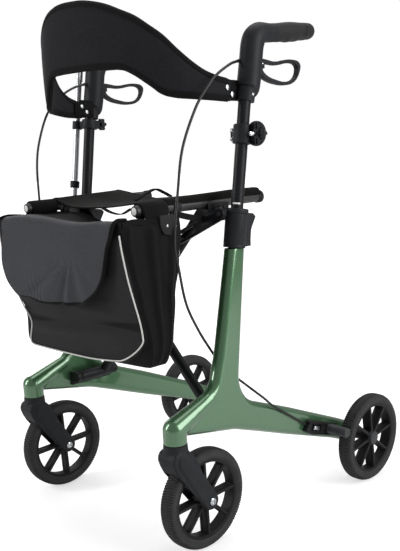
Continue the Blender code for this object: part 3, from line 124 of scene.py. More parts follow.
BAG_TOP_DEPTH = 0.1285
FLAP_GAP = 0.0035
BRACKET_Z = 0.810
# The bag's leaning front panel as a plane, where its lit front colours give way to painted shade
PANEL_LEAN = 0.196
PANEL_EDGE = (-0.2198, -0.2182)
RIVET_PLACES = ((0.110, 0.8155), (0.1215, 0.8045))

# The photograph's view, its sizes in pixels of a 400 x 551 picture, and the white of the room around it
PICTURE = (400, 551)
FOCAL_PIXELS = 756.13
CENTRE_PIXEL = (215.13, 356.69)
AZIMUTH = math.radians(45.084)
ELEVATION = math.radians(14.629)
ROLL = math.radians(-2.351)
EYE = (1.1558, -0.8823, 0.6979)
WHITE = (1.0, 1.0, 1.0, 1.0)
ROOM_STRENGTH = 0.30


def at(x, y, z):
    """A place in the model, for y counted backwards from the front axle."""
    return Vector((x, y + FRONT_AXLE_Y, z))


# Camera, lamps and floor


def photograph_camera():
    """The view that was solved from the photograph: place, direction, roll, focal length and shift."""
    bpy.ops.object.camera_add(location=at(*EYE))
    eye = bpy.context.object
    eye.name = "photograph_camera"
    forward = Vector((-math.sin(AZIMUTH) * math.cos(ELEVATION), math.cos(AZIMUTH) * math.cos(ELEVATION),
                      -math.sin(ELEVATION)))
    level = Vector((math.cos(AZIMUTH), math.sin(AZIMUTH), 0.0))
    upright = level.cross(forward)
    right = level * math.cos(ROLL) + upright * math.sin(ROLL)
    up = upright * math.cos(ROLL) - level * math.sin(ROLL)
    eye.rotation_euler = Matrix((right, up, -forward)).transposed().to_euler()
    lens = eye.data
    lens.sensor_fit = "VERTICAL"
    lens.sensor_height = 24.0
    lens.lens = FOCAL_PIXELS / PICTURE[1] * lens.sensor_height
    lens.shift_x = (PICTURE[0] / 2 - CENTRE_PIXEL[0]) / PICTURE[1]
    lens.shift_y = (CENTRE_PIXEL[1] - PICTURE[1] / 2) / PICTURE[1]
    lens.clip_start = 0.05
    bpy.context.scene.camera = eye


def softbox(name, place, target, width, height, watts):
    """A rectangular lamp at a place, facing its target."""
    place = Vector(place)
    turn = (Vector(target) - place).to_track_quat("-Z", "Y").to_euler()
    bpy.ops.object.light_add(type="AREA", location=place, rotation=turn)
    lamp = bpy.context.object
    lamp.name = name
    lamp.data.shape = "RECTANGLE"
    lamp.data.size = width
    lamp.data.size_y = height
    lamp.data.energy = watts


def empty_tree(owner):
    """The node tree of a world or material, with nothing in it."""
    owner.use_nodes = True
    owner.node_tree.nodes.clear()
    return owner.node_tree


def studio():
    """A white sweep under plain soft light: one broad lamp on the user's left, smaller ones around."""
    scene = bpy.context.scene
    scene.view_settings.view_transform = "Standard"
    middle = (0.0, 0.0, 0.45)
    softbox("side_softbox", (2.5, 0.6, 1.5), middle, 1.6, 2.2, 58.0)
    softbox("front_softbox", (-1.6, -2.4, 1.5), middle, 0.45, 2.2, 42.0)
    softbox("rim_softbox", (-2.5, 0.5, 1.1), middle, 0.5, 2.0, 12.0)
    softbox("top_softbox", (-0.3, 0.6, 3.0), middle, 2.2, 2.2, 28.0)

    world = bpy.data.worlds.new("white_room")
    scene.world = world
    tree = empty_tree(world)
    rays = add_node(tree, "LightPath")
    seen = add_node(tree, "Math", {0: rays.outputs["Is Camera Ray"], 1: rays.outputs["Is Transmission Ray"]},
                    operation="MAXIMUM")
    room = add_node(tree, "Background", {"Color": WHITE, "Strength": ROOM_STRENGTH})
    white = add_node(tree, "Background", {"Color": WHITE, "Strength": 1.0})
    either = add_node(tree, "MixShader", {"Fac": seen.outputs[0], 1: room.outputs[0], 2: white.outputs[0]})
    add_node(tree, "OutputWorld", {"Surface": either.outputs[0]})

    bpy.ops.mesh.primitive_plane_add(size=60.0, location=(0.0, 0.0, 0.0))
    floor = named("floor")
    paper = bpy.data.materials.new("white_paper_sweep")
    tree = empty_tree(paper)
    rays = add_node(tree, "LightPath")
    place = add_node(tree, "TexCoord").outputs["Object"]
    away = add_node(tree, "VectorMath", {0: place}, operation="LENGTH")
    fade = add_node(tree, "MapRange", {"Value": away.outputs["Value"], "From Min": 0.9, "From Max": 3.0,
                                       "To Min": 0.50, "To Max": 1.0})
    seen = add_node(tree, "Math", {0: rays.outputs["Is Camera Ray"], 1: fade.outputs["Result"]},
                    operation="MULTIPLY")
    matt = add_node(tree, "BsdfDiffuse", {"Color": srgb("e6e6e6")})
    lift = add_node(tree, "Emission", {"Color": WHITE, "Strength": seen.outputs[0]})
    both = add_node(tree, "AddShader", {0: matt.outputs[0], 1: lift.outputs[0]})
    add_node(tree, "OutputMaterial", {"Surface": both.outputs[0]})
    floor.data.materials.append(paper)


# Finishes


def srgb(hex_code):
    """A colour written as the eye sees it, turned to the linear values that shaders take."""
    channels = []
    for start in (0, 2, 4):
        value = int(hex_code[start:start + 2], 16) / 255
        channels.append(value / 12.92 if value <= 0.04045 else ((value + 0.055) / 1.055) ** 2.4)
    return (*channels, 1.0)


def add_node(tree, kind, inputs=None, stops=None, **settings):
    """Adds a shader node: its settings, inputs as values or links, and a ramp's (place, colour) stops."""
    made = tree.nodes.new("ShaderNode" + kind)
    for name, value in settings.items():
        setattr(made, name, value)
    for name, value in (inputs or {}).items():
        if isinstance(value, bpy.types.NodeSocket):
            tree.links.new(value, made.inputs[name])
        else:
            made.inputs[name].default_value = value
    for index, (place, colour) in enumerate(stops or ()):
        if index > 1:
            made.color_ramp.elements.new(place)
        made.color_ramp.elements[index].position = place
        made.color_ramp.elements[index].color = srgb(colour)
    return made


def cells(millimetres):
    """A pattern's scale for grain of that width: how many stand side by side in a metre."""
    return 1000.0 / millimetres


def surface(tree, shader, colour=None, roughness=None, normal=None, socket="Normal"):
    """Links a pattern's colour, roughness and bump to the shader."""
    for source, target in ((colour, "Base Color"), (roughness, "Roughness"), (normal, socket)):
        if source:
            tree.links.new(source.outputs[0], shader.inputs[target])


def new_finish(name, hex_code, roughness, metallic=0.0, **sockets):
    """A material with its shader and the object coordinates that its patterns follow, in metres."""
    finish = bpy.data.materials.new(name)
    finish.use_nodes = True
    tree = finish.node_tree
    shader = tree.nodes["Principled BSDF"]
    shader.inputs["Base Color"].default_value = srgb(hex_code)
    shader.inputs["Roughness"].default_value = roughness
    shader.inputs["Metallic"].default_value = metallic
    for socket, value in sockets.items():
        shader.inputs[socket.replace("_", " ")].default_value = value
    place = add_node(tree, "TexCoord").outputs["Object"]
    return finish, tree, shader, place


def metallic_lacquer():
    """Two-coat metallic lacquer on a moulded frame: aluminium flake under clear, brightest where it faces a
    lamp and deep green where it turns away. Real flake is under 0.1 mm; it is drawn at about 1 mm."""
    finish, tree, shader, place = new_finish("green_metallic_lacquer", "4b7350", 0.30, 0.60, Coat_Weight=1.0,
                                             Coat_Roughness=0.05, Coat_IOR=1.65)
    flake = add_node(tree, "TexVoronoi", {"Vector": place, "Scale": cells(1.053)})
    tone = add_node(tree, "ValToRGB", {"Fac": flake.outputs["Color"]},
                    stops=[(0.0, "47704c"), (1.0, "547d58")])
    cloud = add_node(tree, "TexNoise", {"Vector": place, "Scale": cells(71.4), "Detail": 3.0})
    wear = add_node(tree, "MapRange", {"Value": cloud.outputs["Fac"], "To Min": 0.25, "To Max": 0.36})
    peel = add_node(tree, "TexNoise", {"Vector": place, "Scale": cells(2.38), "Detail": 1.0})
    bump = add_node(tree, "Bump", {"Height": peel.outputs["Fac"], "Strength": 0.05, "Distance": 0.0003})
    surface(tree, shader, tone, wear, bump, "Coat Normal")
    return finish


def powder_coat(name="satin_powder_coat_black", hex_code="16171a", gloss=0.22):
    """Polyester powder coat, baked on aluminium tube: satin black with an orange peel about 1.5 mm wide."""
    finish, tree, shader, place = new_finish(name, hex_code, 0.42, Specular_IOR_Level=gloss)
    peel = add_node(tree, "TexNoise", {"Vector": place, "Scale": cells(1.54), "Detail": 2.0})
    bump = add_node(tree, "Bump", {"Height": peel.outputs["Fac"], "Strength": 0.18, "Distance": 0.0004})
    cloud = add_node(tree, "TexNoise", {"Vector": place, "Scale": cells(33.3), "Detail": 4.0})
    wear = add_node(tree, "MapRange", {"Value": cloud.outputs["Fac"], "To Min": 0.36, "To Max": 0.50})
    surface(tree, shader, roughness=wear, normal=bump)
    return finish


def moulded_plastic(name, dark, light, roughness, grain=1.11):
    """Glass-filled nylon from a spark-eroded mould: a matt black with a slight blue cast and a 1 mm grain."""
    finish, tree, shader, place = new_finish(name, dark, roughness, Specular_IOR_Level=0.20)
    cloud = add_node(tree, "TexNoise", {"Vector": place, "Scale": cells(22.2), "Detail": 5.0, "Roughness": 0.6})
    tone = add_node(tree, "ValToRGB", {"Fac": cloud.outputs["Fac"]}, stops=[(0.3, dark), (0.75, light)])
    erosion = add_node(tree, "TexNoise", {"Vector": place, "Scale": cells(grain), "Detail": 2.0})
    bump = add_node(tree, "Bump", {"Height": erosion.outputs["Fac"], "Strength": 0.25, "Distance": 0.0004})
    surface(tree, shader, colour=tone, normal=bump)
    return finish


def tyre_rubber():
    """Solid polyurethane tyre with carbon black: dull, a little grey where dust sits in its fine grain."""
    finish, tree, shader, place = new_finish("tyre_rubber_black", "2a2a2b", 0.72, Specular_IOR_Level=0.35)
    dust = add_node(tree, "TexNoise", {"Vector": place, "Scale": cells(16.7), "Detail": 6.0, "Roughness": 0.65})
    tone = add_node(tree, "ValToRGB", {"Fac": dust.outputs["Fac"]}, stops=[(0.30, "272728"), (0.80, "363637")])
    grain = add_node(tree, "TexNoise", {"Vector": place, "Scale": cells(0.91), "Detail": 2.0})
    bump = add_node(tree, "Bump", {"Height": grain.outputs["Fac"], "Strength": 0.3, "Distance": 0.0004})
    surface(tree, shader, colour=tone, normal=bump)
    return finish


def grip_rubber():
    """Soft thermoplastic rubber: a dull black, a little lighter at grazing angles, with a stippled skin."""
    finish, tree, shader, place = new_finish("soft_grip_rubber", "1c1c1d", 0.62, Specular_IOR_Level=0.25,
                                             Sheen_Weight=0.06, Sheen_Roughness=0.5)
    stipple = add_node(tree, "TexVoronoi", {"Vector": place, "Scale": cells(1.54)})
    bump = add_node(tree, "Bump", {"Height": stipple.outputs["Distance"], "Strength": 0.3, "Distance": 0.0005})
    tone = add_node(tree, "ValToRGB", {"Fac": stipple.outputs["Distance"]},
                    stops=[(0.0, "222224"), (1.0, "19191a")])
    surface(tree, shader, colour=tone, normal=bump)
    return finish


def bright_metal(name, dark, light, roughness, turned_along):
    """Plated or anodised metal with fine marks along the way that it was turned or drawn."""
    finish, tree, shader, place = new_finish(name, light, roughness, 1.0)
    drawn = add_node(tree, "Mapping", {"Vector": place, "Scale": turned_along})
    marks = add_node(tree, "TexNoise", {"Vector": drawn.outputs["Vector"], "Scale": cells(2.0), "Detail": 3.0})
    tone = add_node(tree, "ValToRGB", {"Fac": marks.outputs["Fac"]}, stops=[(0.3, dark), (0.7, light)])
    bump = add_node(tree, "Bump", {"Height": marks.outputs["Fac"], "Strength": 0.08, "Distance": 0.0002})
    surface(tree, shader, colour=tone, normal=bump)
    return finish


def woven_cloth(name, dark, light, thread_mm, roughness=0.85, sheen=0.03, depth=0.35, shaded_panels=None):
    """Real threads are 0.4 to 0.6 mm; they are drawn at thread_mm so that they show. Shaded panels give
    every panel of the bag but its leaning front a darker dark and light: painted shade, where those panels
    get less light than the front."""
    finish, tree, shader, place = new_finish(name, dark, roughness, Specular_IOR_Level=0.10,
                                             Sheen_Weight=sheen, Sheen_Roughness=0.45)
    split = add_node(tree, "SeparateXYZ", {"Vector": place})
    along = add_node(tree, "Math", {0: split.outputs["Y"], 1: 0.618, 2: split.outputs["X"]},
                     operation="MULTIPLY_ADD")
    turns = 2 * math.pi / (thread_mm * 0.001)
    warp_turn = add_node(tree, "Math", {0: along.outputs[0], 1: turns}, operation="MULTIPLY")
    weft_turn = add_node(tree, "Math", {0: split.outputs["Z"], 1: turns}, operation="MULTIPLY")
    warp = add_node(tree, "Math", {0: warp_turn.outputs[0]}, operation="SINE")
    weft = add_node(tree, "Math", {0: weft_turn.outputs[0]}, operation="SINE")
    crossing = add_node(tree, "Math", {0: warp.outputs[0], 1: weft.outputs[0]}, operation="MULTIPLY")
    threads = add_node(tree, "MapRange", {"Value": crossing.outputs[0], "From Min": -1.0, "From Max": 1.0})
    slub = add_node(tree, "TexNoise", {"Vector": place, "Scale": cells(4.55), "Detail": 4.0})
    bloom = add_node(tree, "TexNoise", {"Vector": place, "Scale": cells(83.3), "Detail": 3.0})
    mixed = add_node(tree, "Math", {0: threads.outputs["Result"], 1: 0.35, 2: slub.outputs["Fac"]},
                     operation="MULTIPLY_ADD")
    shade = add_node(tree, "Math", {0: bloom.outputs["Fac"], 1: 0.5, 2: mixed.outputs[0]},
                     operation="MULTIPLY_ADD")
    tone = add_node(tree, "ValToRGB", {"Fac": shade.outputs[0]}, stops=[(0.45, dark), (1.15, light)])
    # Painted shade: the bag's panels other than its leaning front take the darker pair of colours
    if shaded_panels:
        second = add_node(tree, "ValToRGB", {"Fac": shade.outputs[0]},
                          stops=[(0.45, shaded_panels[0]), (1.15, shaded_panels[1])])
        lean = add_node(tree, "Math", {0: split.outputs["Z"], 1: PANEL_LEAN, 2: split.outputs["Y"]},
                        operation="MULTIPLY_ADD")
        part = add_node(tree, "MapRange", {"Value": lean.outputs[0], "From Min": PANEL_EDGE[0],
                                           "From Max": PANEL_EDGE[1]})
        tone = add_node(tree, "MixRGB", {"Fac": part.outputs["Result"], "Color1": tone.outputs["Color"],
                                         "Color2": second.outputs["Color"]})
    bump = add_node(tree, "Bump", {"Height": threads.outputs["Result"], "Strength": depth, "Distance": 0.0003})
    surface(tree, shader, colour=tone, normal=bump)
    return finish


def plain_moulding(name, hex_code, roughness, sheen=0.0):
    """A small pale or dark trim part: plug, piping or adjuster, with a faint mottle."""
    finish, tree, shader, place = new_finish(name, hex_code, roughness, Sheen_Weight=sheen)
    mottle = add_node(tree, "TexNoise", {"Vector": place, "Scale": cells(1.43), "Detail": 2.0})
    bump = add_node(tree, "Bump", {"Height": mottle.outputs["Fac"], "Strength": 0.15, "Distance": 0.0003})
    rough = add_node(tree, "MapRange", {"Value": mottle.outputs["Fac"], "To Min": roughness - 0.06,
                                        "To Max": roughness + 0.06})
    surface(tree, shader, roughness=rough, normal=bump)
    return finish


# Making and shaping


def named(name):
    """The piece just made, with its name on it and on its mesh."""
    piece = bpy.context.object
    piece.name = name
    piece.data.name = name
    return piece


def take(*pieces):
    """Only these pieces are selected, and the last one is active."""
    bpy.ops.object.select_all(action="DESELECT")
    for piece in pieces:
        piece.select_set(True)
    bpy.context.view_layer.objects.active = pieces[-1]


def settle(piece):
    """Place, turn and scale go into the mesh, and the object sits at the origin."""
    take(piece)
    bpy.ops.object.transform_apply(location=True, rotation=True, scale=True)
    return piece


def open_up(piece, all_selected=True):
    """Edit mode on one piece, with everything or nothing selected."""
    take(piece)
    bpy.context.tool_settings.mesh_select_mode = (True, False, False)
    bpy.ops.object.mode_set(mode="EDIT")
    bpy.ops.mesh.select_all(action="SELECT" if all_selected else "DESELECT")


def close_up():
    """Back to object mode."""
    bpy.ops.object.mode_set(mode="OBJECT")


def tidy(piece, distance=0.00001):
    """Doubles merged and faces turned outwards."""
    open_up(piece)
    bpy.ops.mesh.remove_doubles(threshold=distance)
    bpy.ops.mesh.normals_make_consistent(inside=False)
    close_up()
    return piece


def modify(piece, kind, **settings):
    """Adds a modifier with its settings and applies it."""
    take(piece)
    modifier = piece.modifiers.new(kind.lower(), kind)
    for name, value in settings.items():
        setattr(modifier, name, value)
    bpy.ops.object.modifier_apply(modifier=modifier.name)
    return piece


def soften(piece, width, segments=3, angle=40):
    """Rounds the edges that are sharper than the angle."""
    return modify(piece, "BEVEL", width=width, segments=segments, limit_method="ANGLE",
                  angle_limit=math.radians(angle))


def melt(piece, voxel, rounds):
    """One smooth skin over joined shapes, as a casting has, with fillets where they met."""
    modify(piece, "REMESH", mode="VOXEL", voxel_size=voxel)
    return modify(piece, "SMOOTH", factor=0.5, iterations=rounds)


def cut(piece, *tools):
    """Takes the tools' shapes out of the piece."""
    for tool in tools:
        modify(piece, "BOOLEAN", operation="DIFFERENCE", solver="EXACT", object=tool)
        bpy.data.objects.remove(tool)
    return piece


def join(piece, *others):
    """Unites solids into one skin."""
    for other in others:
        modify(piece, "BOOLEAN", operation="UNION", solver="EXACT", object=other)
        bpy.data.objects.remove(other)
    return piece


def gather(piece, *others):
    """Separate shells kept in one piece, where they touch without being cut."""
    take(*others, piece)
    bpy.ops.object.join()
    return piece


def bar(name, start, end, radius, sides=40, end_radius=None, rim=0.0):
    """A round bar from point to point, tapered where it has an end radius, its ends rounded by rim."""
    start = at(*start)
    end = at(*end)
    along = end - start
    bpy.ops.mesh.primitive_cone_add(
        vertices=sides, radius1=radius, radius2=radius if end_radius is None else end_radius,
        depth=along.length, location=(start + end) / 2, rotation=along.to_track_quat("Z", "Y").to_euler())
    piece = settle(named(name))
    return soften(piece, rim, 3) if rim else piece


def cross_pin(name, middle, half_length, radius, sides=40, rim=0.0):
    """A round bar across the frame, along x, about its middle."""
    x, y, z = middle
    return bar(name, (x - half_length, y, z), (x + half_length, y, z), radius, sides, rim=rim)


def box(name, size, centre, rim=0.0):
    """A block about its centre, its edges rounded by rim."""
    bpy.ops.mesh.primitive_cube_add(size=1.0, location=at(*centre), scale=size)
    piece = settle(named(name))
    return soften(piece, rim, 3) if rim else piece


def slab(name, outline, facing, level, thickness):
    """A flat round is moved onto the outline and extruded; facing x gives (y, z) points, facing y (x, z)."""
    bpy.ops.mesh.primitive_circle_add(vertices=len(outline), radius=1.0, fill_type="NGON")
    piece = named(name)
    near = level - thickness / 2
    for corner, (u, v) in zip(piece.data.vertices, outline):
        corner.co = at(near, u, v) if facing == "x" else at(u, near, v)
    through = (thickness, 0.0, 0.0) if facing == "x" else (0.0, thickness, 0.0)
    open_up(piece)
    bpy.ops.mesh.extrude_region_move(TRANSFORM_OT_translate={"value": through})
    bpy.ops.mesh.select_all(action="SELECT")
    bpy.ops.mesh.normals_make_consistent(inside=False)
    close_up()
    return piece


def pipe(name, route, radius=None, sides=24):
    """A round bar along a route; four-number points carry their own radius."""
    bpy.ops.curve.primitive_bezier_curve_add(location=(0.0, 0.0, 0.0))
    line = bpy.context.object
    curve = line.data
    curve.splines.clear()
    curve.bevel_depth = 1.0
    curve.bevel_resolution = (sides - 4) // 2
    curve.use_fill_caps = True
    spline = curve.splines.new("POLY")
    spline.points.add(len(route) - 1)
    for target, point in zip(spline.points, route):
        target.co = (*at(*point[:3]), 1.0)
        target.radius = radius if radius else point[3]
    take(line)
    bpy.ops.object.convert(target="MESH")
    return tidy(settle(named(name)))


def spun(name, profile, foot, axis, steps=72):
    """A closed profile of (along, radius) points, spun a full turn about the axis through the foot."""
    axis = Vector(axis).normalized()
    out = axis.orthogonal().normalized()
    foot = at(*foot)
    bpy.ops.mesh.primitive_circle_add(vertices=len(profile), radius=1.0)
    piece = named(name)
    for corner, (along, radius) in zip(piece.data.vertices, profile):
        corner.co = foot + axis * along + out * radius
    open_up(piece)
    bpy.ops.mesh.spin(steps=steps, angle=2 * math.pi, center=foot, axis=axis)
    close_up()
    return tidy(piece)


def rounded(corners, steps=8):
    """Outline points from (u, v, radius) corners, each radius drawn as an arc."""
    points = []
    count = len(corners)
    for index, (u, v, radius) in enumerate(corners):
        corner = Vector((u, v))
        if radius == 0:
            points.append(tuple(corner))
            continue
        before = (Vector(corners[index - 1][:2]) - corner).normalized()
        after = (Vector(corners[(index + 1) % count][:2]) - corner).normalized()
        half_angle = before.angle(after) / 2
        middle = corner + (before + after).normalized() * radius / math.sin(half_angle)
        reach = radius / math.tan(half_angle)
        start = corner + before * reach - middle
        end = corner + after * reach - middle
        for step in range(steps + 1):
            share = step / steps
            sweep = (start * (1 - share) + end * share).normalized()
            points.append(tuple(middle + sweep * radius))
    return points


def arc(centre, radius, start, end, steps):
    """Points on a round from one angle to another, in degrees."""
    points = []
    for step in range(steps + 1):
        angle = math.radians(start + (end - start) * step / steps)
        points.append((centre[0] + radius * math.cos(angle), centre[1] + radius * math.sin(angle)))
    return points


def flowing(points, steps=8):
    """A smooth curve through points of any number of values."""
    ends = [tuple(2 * a - b for a, b in zip(points[0], points[1])), *points,
            tuple(2 * a - b for a, b in zip(points[-1], points[-2]))]
    fine = []
    for before, start, end, after in zip(ends, ends[1:], ends[2:], ends[3:]):
        for step in range(steps):
            t = step / steps
            fine.append(tuple(
                0.5 * (2 * s + (e - b) * t + (2 * b - 5 * s + 4 * e - a) * t ** 2
                       + (3 * s - b - 3 * e + a) * t ** 3) for b, s, e, a in zip(before, start, end, after)))
    fine.append(tuple(points[-1]))
    return fine


def smooth_step(value):
    """0 below 0, 1 above 1, and an even S between them."""
    value = min(max(value, 0.0), 1.0)
    return value * value * (3 - 2 * value)


def between(value, table):
    """A value read off a table of (place, value) pairs, eased from one to the next."""
    if value <= table[0][0]:
        return table[0][1]
    for (low, first), (high, second) in zip(table, table[1:]):
        if value <= high:
            return first + (second - first) * smooth_step((value - low) / (high - low))
    return table[-1][1]


def curve_through(value, table):
    """A value read off a smooth curve through a table of (place, value) pairs."""
    value = min(max(value, table[0][0]), table[-1][0])
    index = next(i for i in range(1, len(table)) if value <= table[i][0])
    slopes = []
    for corner in (index - 1, index):
        before = table[max(corner - 1, 0)]
        after = table[min(corner + 1, len(table) - 1)]
        slopes.append((after[1] - before[1]) / (after[0] - before[0]))
    (low, first), (high, second) = table[index - 1], table[index]
    width = high - low
    t = (value - low) / width
    return ((2 * t ** 3 - 3 * t ** 2 + 1) * first + (t ** 3 - 2 * t ** 2 + t) * width * slopes[0]
            + (3 * t ** 2 - 2 * t ** 3) * second + (t ** 3 - t ** 2) * width * slopes[1])


def ring_through(points, steps=6):
    """A smooth closed outline through points."""
    around = [points[-1], *points, points[0], points[1]]
    return flowing(around, steps)[steps:-steps - 1]


def flipped(outline, side):
    """A left outline of (across, height) points, turned over for the right side."""
    return [(side * u, v) for u, v in outline]


def pick_faces(piece, wanted):
    """Edit mode on one piece, with only the faces selected that are wanted."""
    open_up(piece, False)
    close_up()
    for face in piece.data.polygons:
        face.select = wanted(face)
    take(piece)
    bpy.context.tool_settings.mesh_select_mode = (False, False, True)
    bpy.ops.object.mode_set(mode="EDIT")


def lean_y(z):
    """How far back the posts' leaning axis is at a height."""
    return LEAN_TOP[0] + (z - LEAN_TOP[1]) * LEAN


def on_lean(side, z, across=0.0, back=0.0):
    """A point on a post's axis, or beside it."""
    return (side * (FRAME_X + across), lean_y(z) + back, z)


def lean_bar(name, side, low, high, radius, sides=48, rim=0.0):
    """A round bar on a post's axis, from one height to another."""
    return bar(name, on_lean(side, low), on_lean(side, high), radius, sides, rim=rim)


def fit(piece, finish, body, slot, *nodes, angle=35):
    """Gives a finished piece its surface, its body and the frame's nodes that it stands for."""
    take(piece)
    bpy.ops.object.shade_smooth_by_angle(angle=math.radians(angle))
    piece.data.materials.clear()
    piece.data.materials.append(finish)
    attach(piece, body)
    if nodes:
        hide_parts(*nodes)
    return piece


def soft_squash(piece):
    """The piece gets a mesh of its own."""
    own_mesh(piece)


def fit_soft(piece, finish, body, *nodes, angle=60):
    """Fits a cloth piece and gives it a mesh of its own."""
    fit(piece, finish, body, "cloth", *nodes, angle=angle)
    soft_squash(piece)


def mirrored(piece, name):
    """The same piece for the right side, its faces turned outwards again."""
    take(piece)
    bpy.ops.object.duplicate()
    twin = named(name)
    open_up(twin)
    bpy.ops.transform.resize(value=(-1.0, 1.0, 1.0), center_override=(0.0, 0.0, 0.0))
    bpy.ops.mesh.flip_normals()
    close_up()
    return twin


def fit_pair(piece, finish, body, slot, node=None, angle=35):
    """A left piece and its mirrored twin, on left_ and right_ bodies."""
    base = piece.name.removesuffix("_left")
    twin = mirrored(piece, base + "_right")
    for side, each in (("left", piece), ("right", twin)):
        nodes = (f"{node}_{side}",) if node else ()
        fit(each, finish, f"{side}_{body}", slot, *nodes, angle=angle)
    return piece, twin


# Side frames and collars


def frame_moulding(finish):
    """Caster head, front arm, leaning post and rear arm in one smooth hollow moulding."""
    end = 0.0219
    axle = Vector((WHEELBASE, WHEEL_RADIUS))
    along = Vector((0.925, -0.379))
    across = Vector((-along.y, along.x))
    half_post = 0.018
    overlong = 0.010
    top_y = lean_y(POST_TOP_Z + overlong)
    corners = [
        (-CASTER_TRAIL, 0.268, 0.0),
        (0.031, 0.297, 0.038),
        (0.050, 0.362, 0.150),
        (top_y - half_post, POST_TOP_Z + overlong + half_post * LEAN, 0.0),
        (top_y + half_post, POST_TOP_Z + overlong - half_post * LEAN, 0.0),
        (0.094, 0.2655, 0.065),
        (0.246, 0.207, 0.200),
        (WHEELBASE - 0.037, 0.137, 0.150),
        (*(axle + (along + across) * end), end - 0.0002),
        (*(axle + (along - across) * end), end - 0.0002),
        (WHEELBASE - 0.060, 0.097, 0.150),
        (0.228, 0.1545, 0.200),
        (0.150, 0.1830, 0.200),
        (0.085, 0.2060, 0.150),
        (-CASTER_TRAIL, 0.233, 0.0),
    ]
    body = slab("frame_moulding_left", rounded(corners), "x", FRAME_X, FRAME_THICKNESS)
    soften(body, 0.0125, 6)
    elbow = (FRAME_X, -CASTER_TRAIL, 0.2465)
    head = bar("caster_head", (FRAME_X, -CASTER_TRAIL, HEAD_FOOT_Z - overlong), elbow, HEAD_RADIUS, 64)
    bend = spun("head_bend", arc((0.0, 0.0), HEAD_RADIUS, 180, 0, 15), elbow, (0.0, 0.0, 1.0), 64)
    arm = bar("arm_roll", elbow, (FRAME_X, 0.045, 0.2875), HEAD_RADIUS, 64, 0.0132)
    join(body, head, bend, arm)
    melt(body, 0.0014, 6)
    open_up(body)
    bpy.ops.mesh.bisect(plane_co=at(FRAME_X, -CASTER_TRAIL, HEAD_FOOT_Z), plane_no=(0.0, 0.0, 1.0))
    close_up()
    foot = box("below_head", (0.08, 0.05, 0.030), (FRAME_X, -CASTER_TRAIL, HEAD_FOOT_Z - 0.015))
    cap = box("above_post", (0.08, 0.09, 0.030), (FRAME_X, lean_y(POST_TOP_Z), POST_TOP_Z + 0.015))
    bore = lean_bar("post_bore", 1, 0.40, POST_TOP_Z + 0.02, HANDLE_TUBE_RADIUS + 0.0005)
    cut(body, foot, cap, bore)
    fit_pair(body, finish, "frame", "green_lacquer", "side_frame", angle=50)


def post_collar(finish):
    """Clamping collar with a raised lip, two ears for its lever and an arm for the guide link."""
    profile = [
        (0.0, 0.0192), (0.0008, 0.0200), (0.0050, 0.0200), (0.0056, 0.0196), (0.0062, 0.0200),
        (0.0594, 0.0200), (0.0600, 0.0194), (0.0606, 0.0194), (0.0612, 0.0207), (0.0620, 0.0210),
        (0.0672, 0.0210), (0.0686, 0.0204), (0.0690, 0.0190), (0.0690, 0.0118), (0.0, 0.0118),
    ]
    ear_y = lean_y(LEVER_PIVOT_Z) + LEVER_PIVOT_BACK - 0.004
    for label, side in SIDES:
        body = spun(f"post_collar_{label}", profile, on_lean(side, POST_TOP_Z + 0.0005), (0.0, LEAN, 1.0), 80)
        for ear_side in (-1, 1):
            ear = box("collar_ear", (0.004, 0.016, 0.018),
                      (side * FRAME_X + ear_side * 0.0093, ear_y, LEVER_PIVOT_Z), 0.0012)
            join(body, ear)
        pad = box("clamp_pad", (0.024, 0.006, 0.046), on_lean(side, 0.583, 0.0, 0.0178), 0.0015)
        join(body, pad)
        link_y = link_plane_y(side)
        near_y = lean_y(LINK_COLLAR_Z)
        toward = 1 if link_y < near_y else -1
        reach = abs(near_y - link_y) - 0.0033
        middle_y = near_y - toward * reach / 2
        arm = box("link_arm", (0.014, reach, 0.013),
                  (side * (LINK_COLLAR_X - 0.001), middle_y, LINK_COLLAR_Z), 0.002)
        bolt = bar("link_bolt", (side * LINK_COLLAR_X, middle_y, LINK_COLLAR_Z),
                   (side * LINK_COLLAR_X, link_y - toward * 0.0062, LINK_COLLAR_Z), 0.0040, 24, rim=0.0008)
        room = lean_bar("tube_room", side, 0.52, 0.63, 0.0117)
        join(body, arm, bolt)
        cut(body, room)
        fit(body, finish, f"{label}_frame", "black_plastic", f"collar_{label}")


def quick_lever(finish):
    """Wedge lever behind the collar, with finger ribs across its back."""
    z = LEVER_PIVOT_Z
    y = lean_y(z) + LEVER_PIVOT_BACK
    front = 0.0220 - LEVER_PIVOT_BACK
    corners = [(front, -0.0065, 0.004), (0.009, -0.0065, 0.004), (0.008, 0.020, 0.020), (0.018, 0.042, 0.003),
               (0.010, 0.048, 0.002), (front, 0.050, 0.002)]
    outline = [(y + u + v * LEAN, z + v) for u, v in rounded(corners, 6)]
    body = slab("quick_lever_left", outline, "x", FRAME_X, 0.014)
    soften(body, 0.0016, 3, 50)
    for step in range(4):
        height = 0.022 + 0.005 * step
        back = y + height * LEAN + 0.0094 + 0.0024 * step
        cut(body, cross_pin("finger_groove", (FRAME_X, back, z + height), 0.02, 0.0011, 16))
    join(body, cross_pin("lever_pin", (FRAME_X, y, z), 0.0118, 0.0026, 24, 0.0005))
    fit_pair(body, finish, "quick_lever", "black_plastic", "quick_release_lever", angle=45)


# Handles and brake levers


# Small round heads, the first with a socket: (along, radius) from the seat outwards
BUTTON_HEAD = [(-0.001, 0.0), (-0.001, 0.0030), (0.0006, 0.0030), (0.0016, 0.0024), (0.0021, 0.0014),
               (0.0021, 0.0012), (0.0010, 0.0011), (0.0010, 0.0)]
PIN_CAP = [(-0.0006, 0.0), (-0.0006, 0.0014), (0.0002, 0.0014), (0.0004, 0.0010), (0.0004, 0.0)]


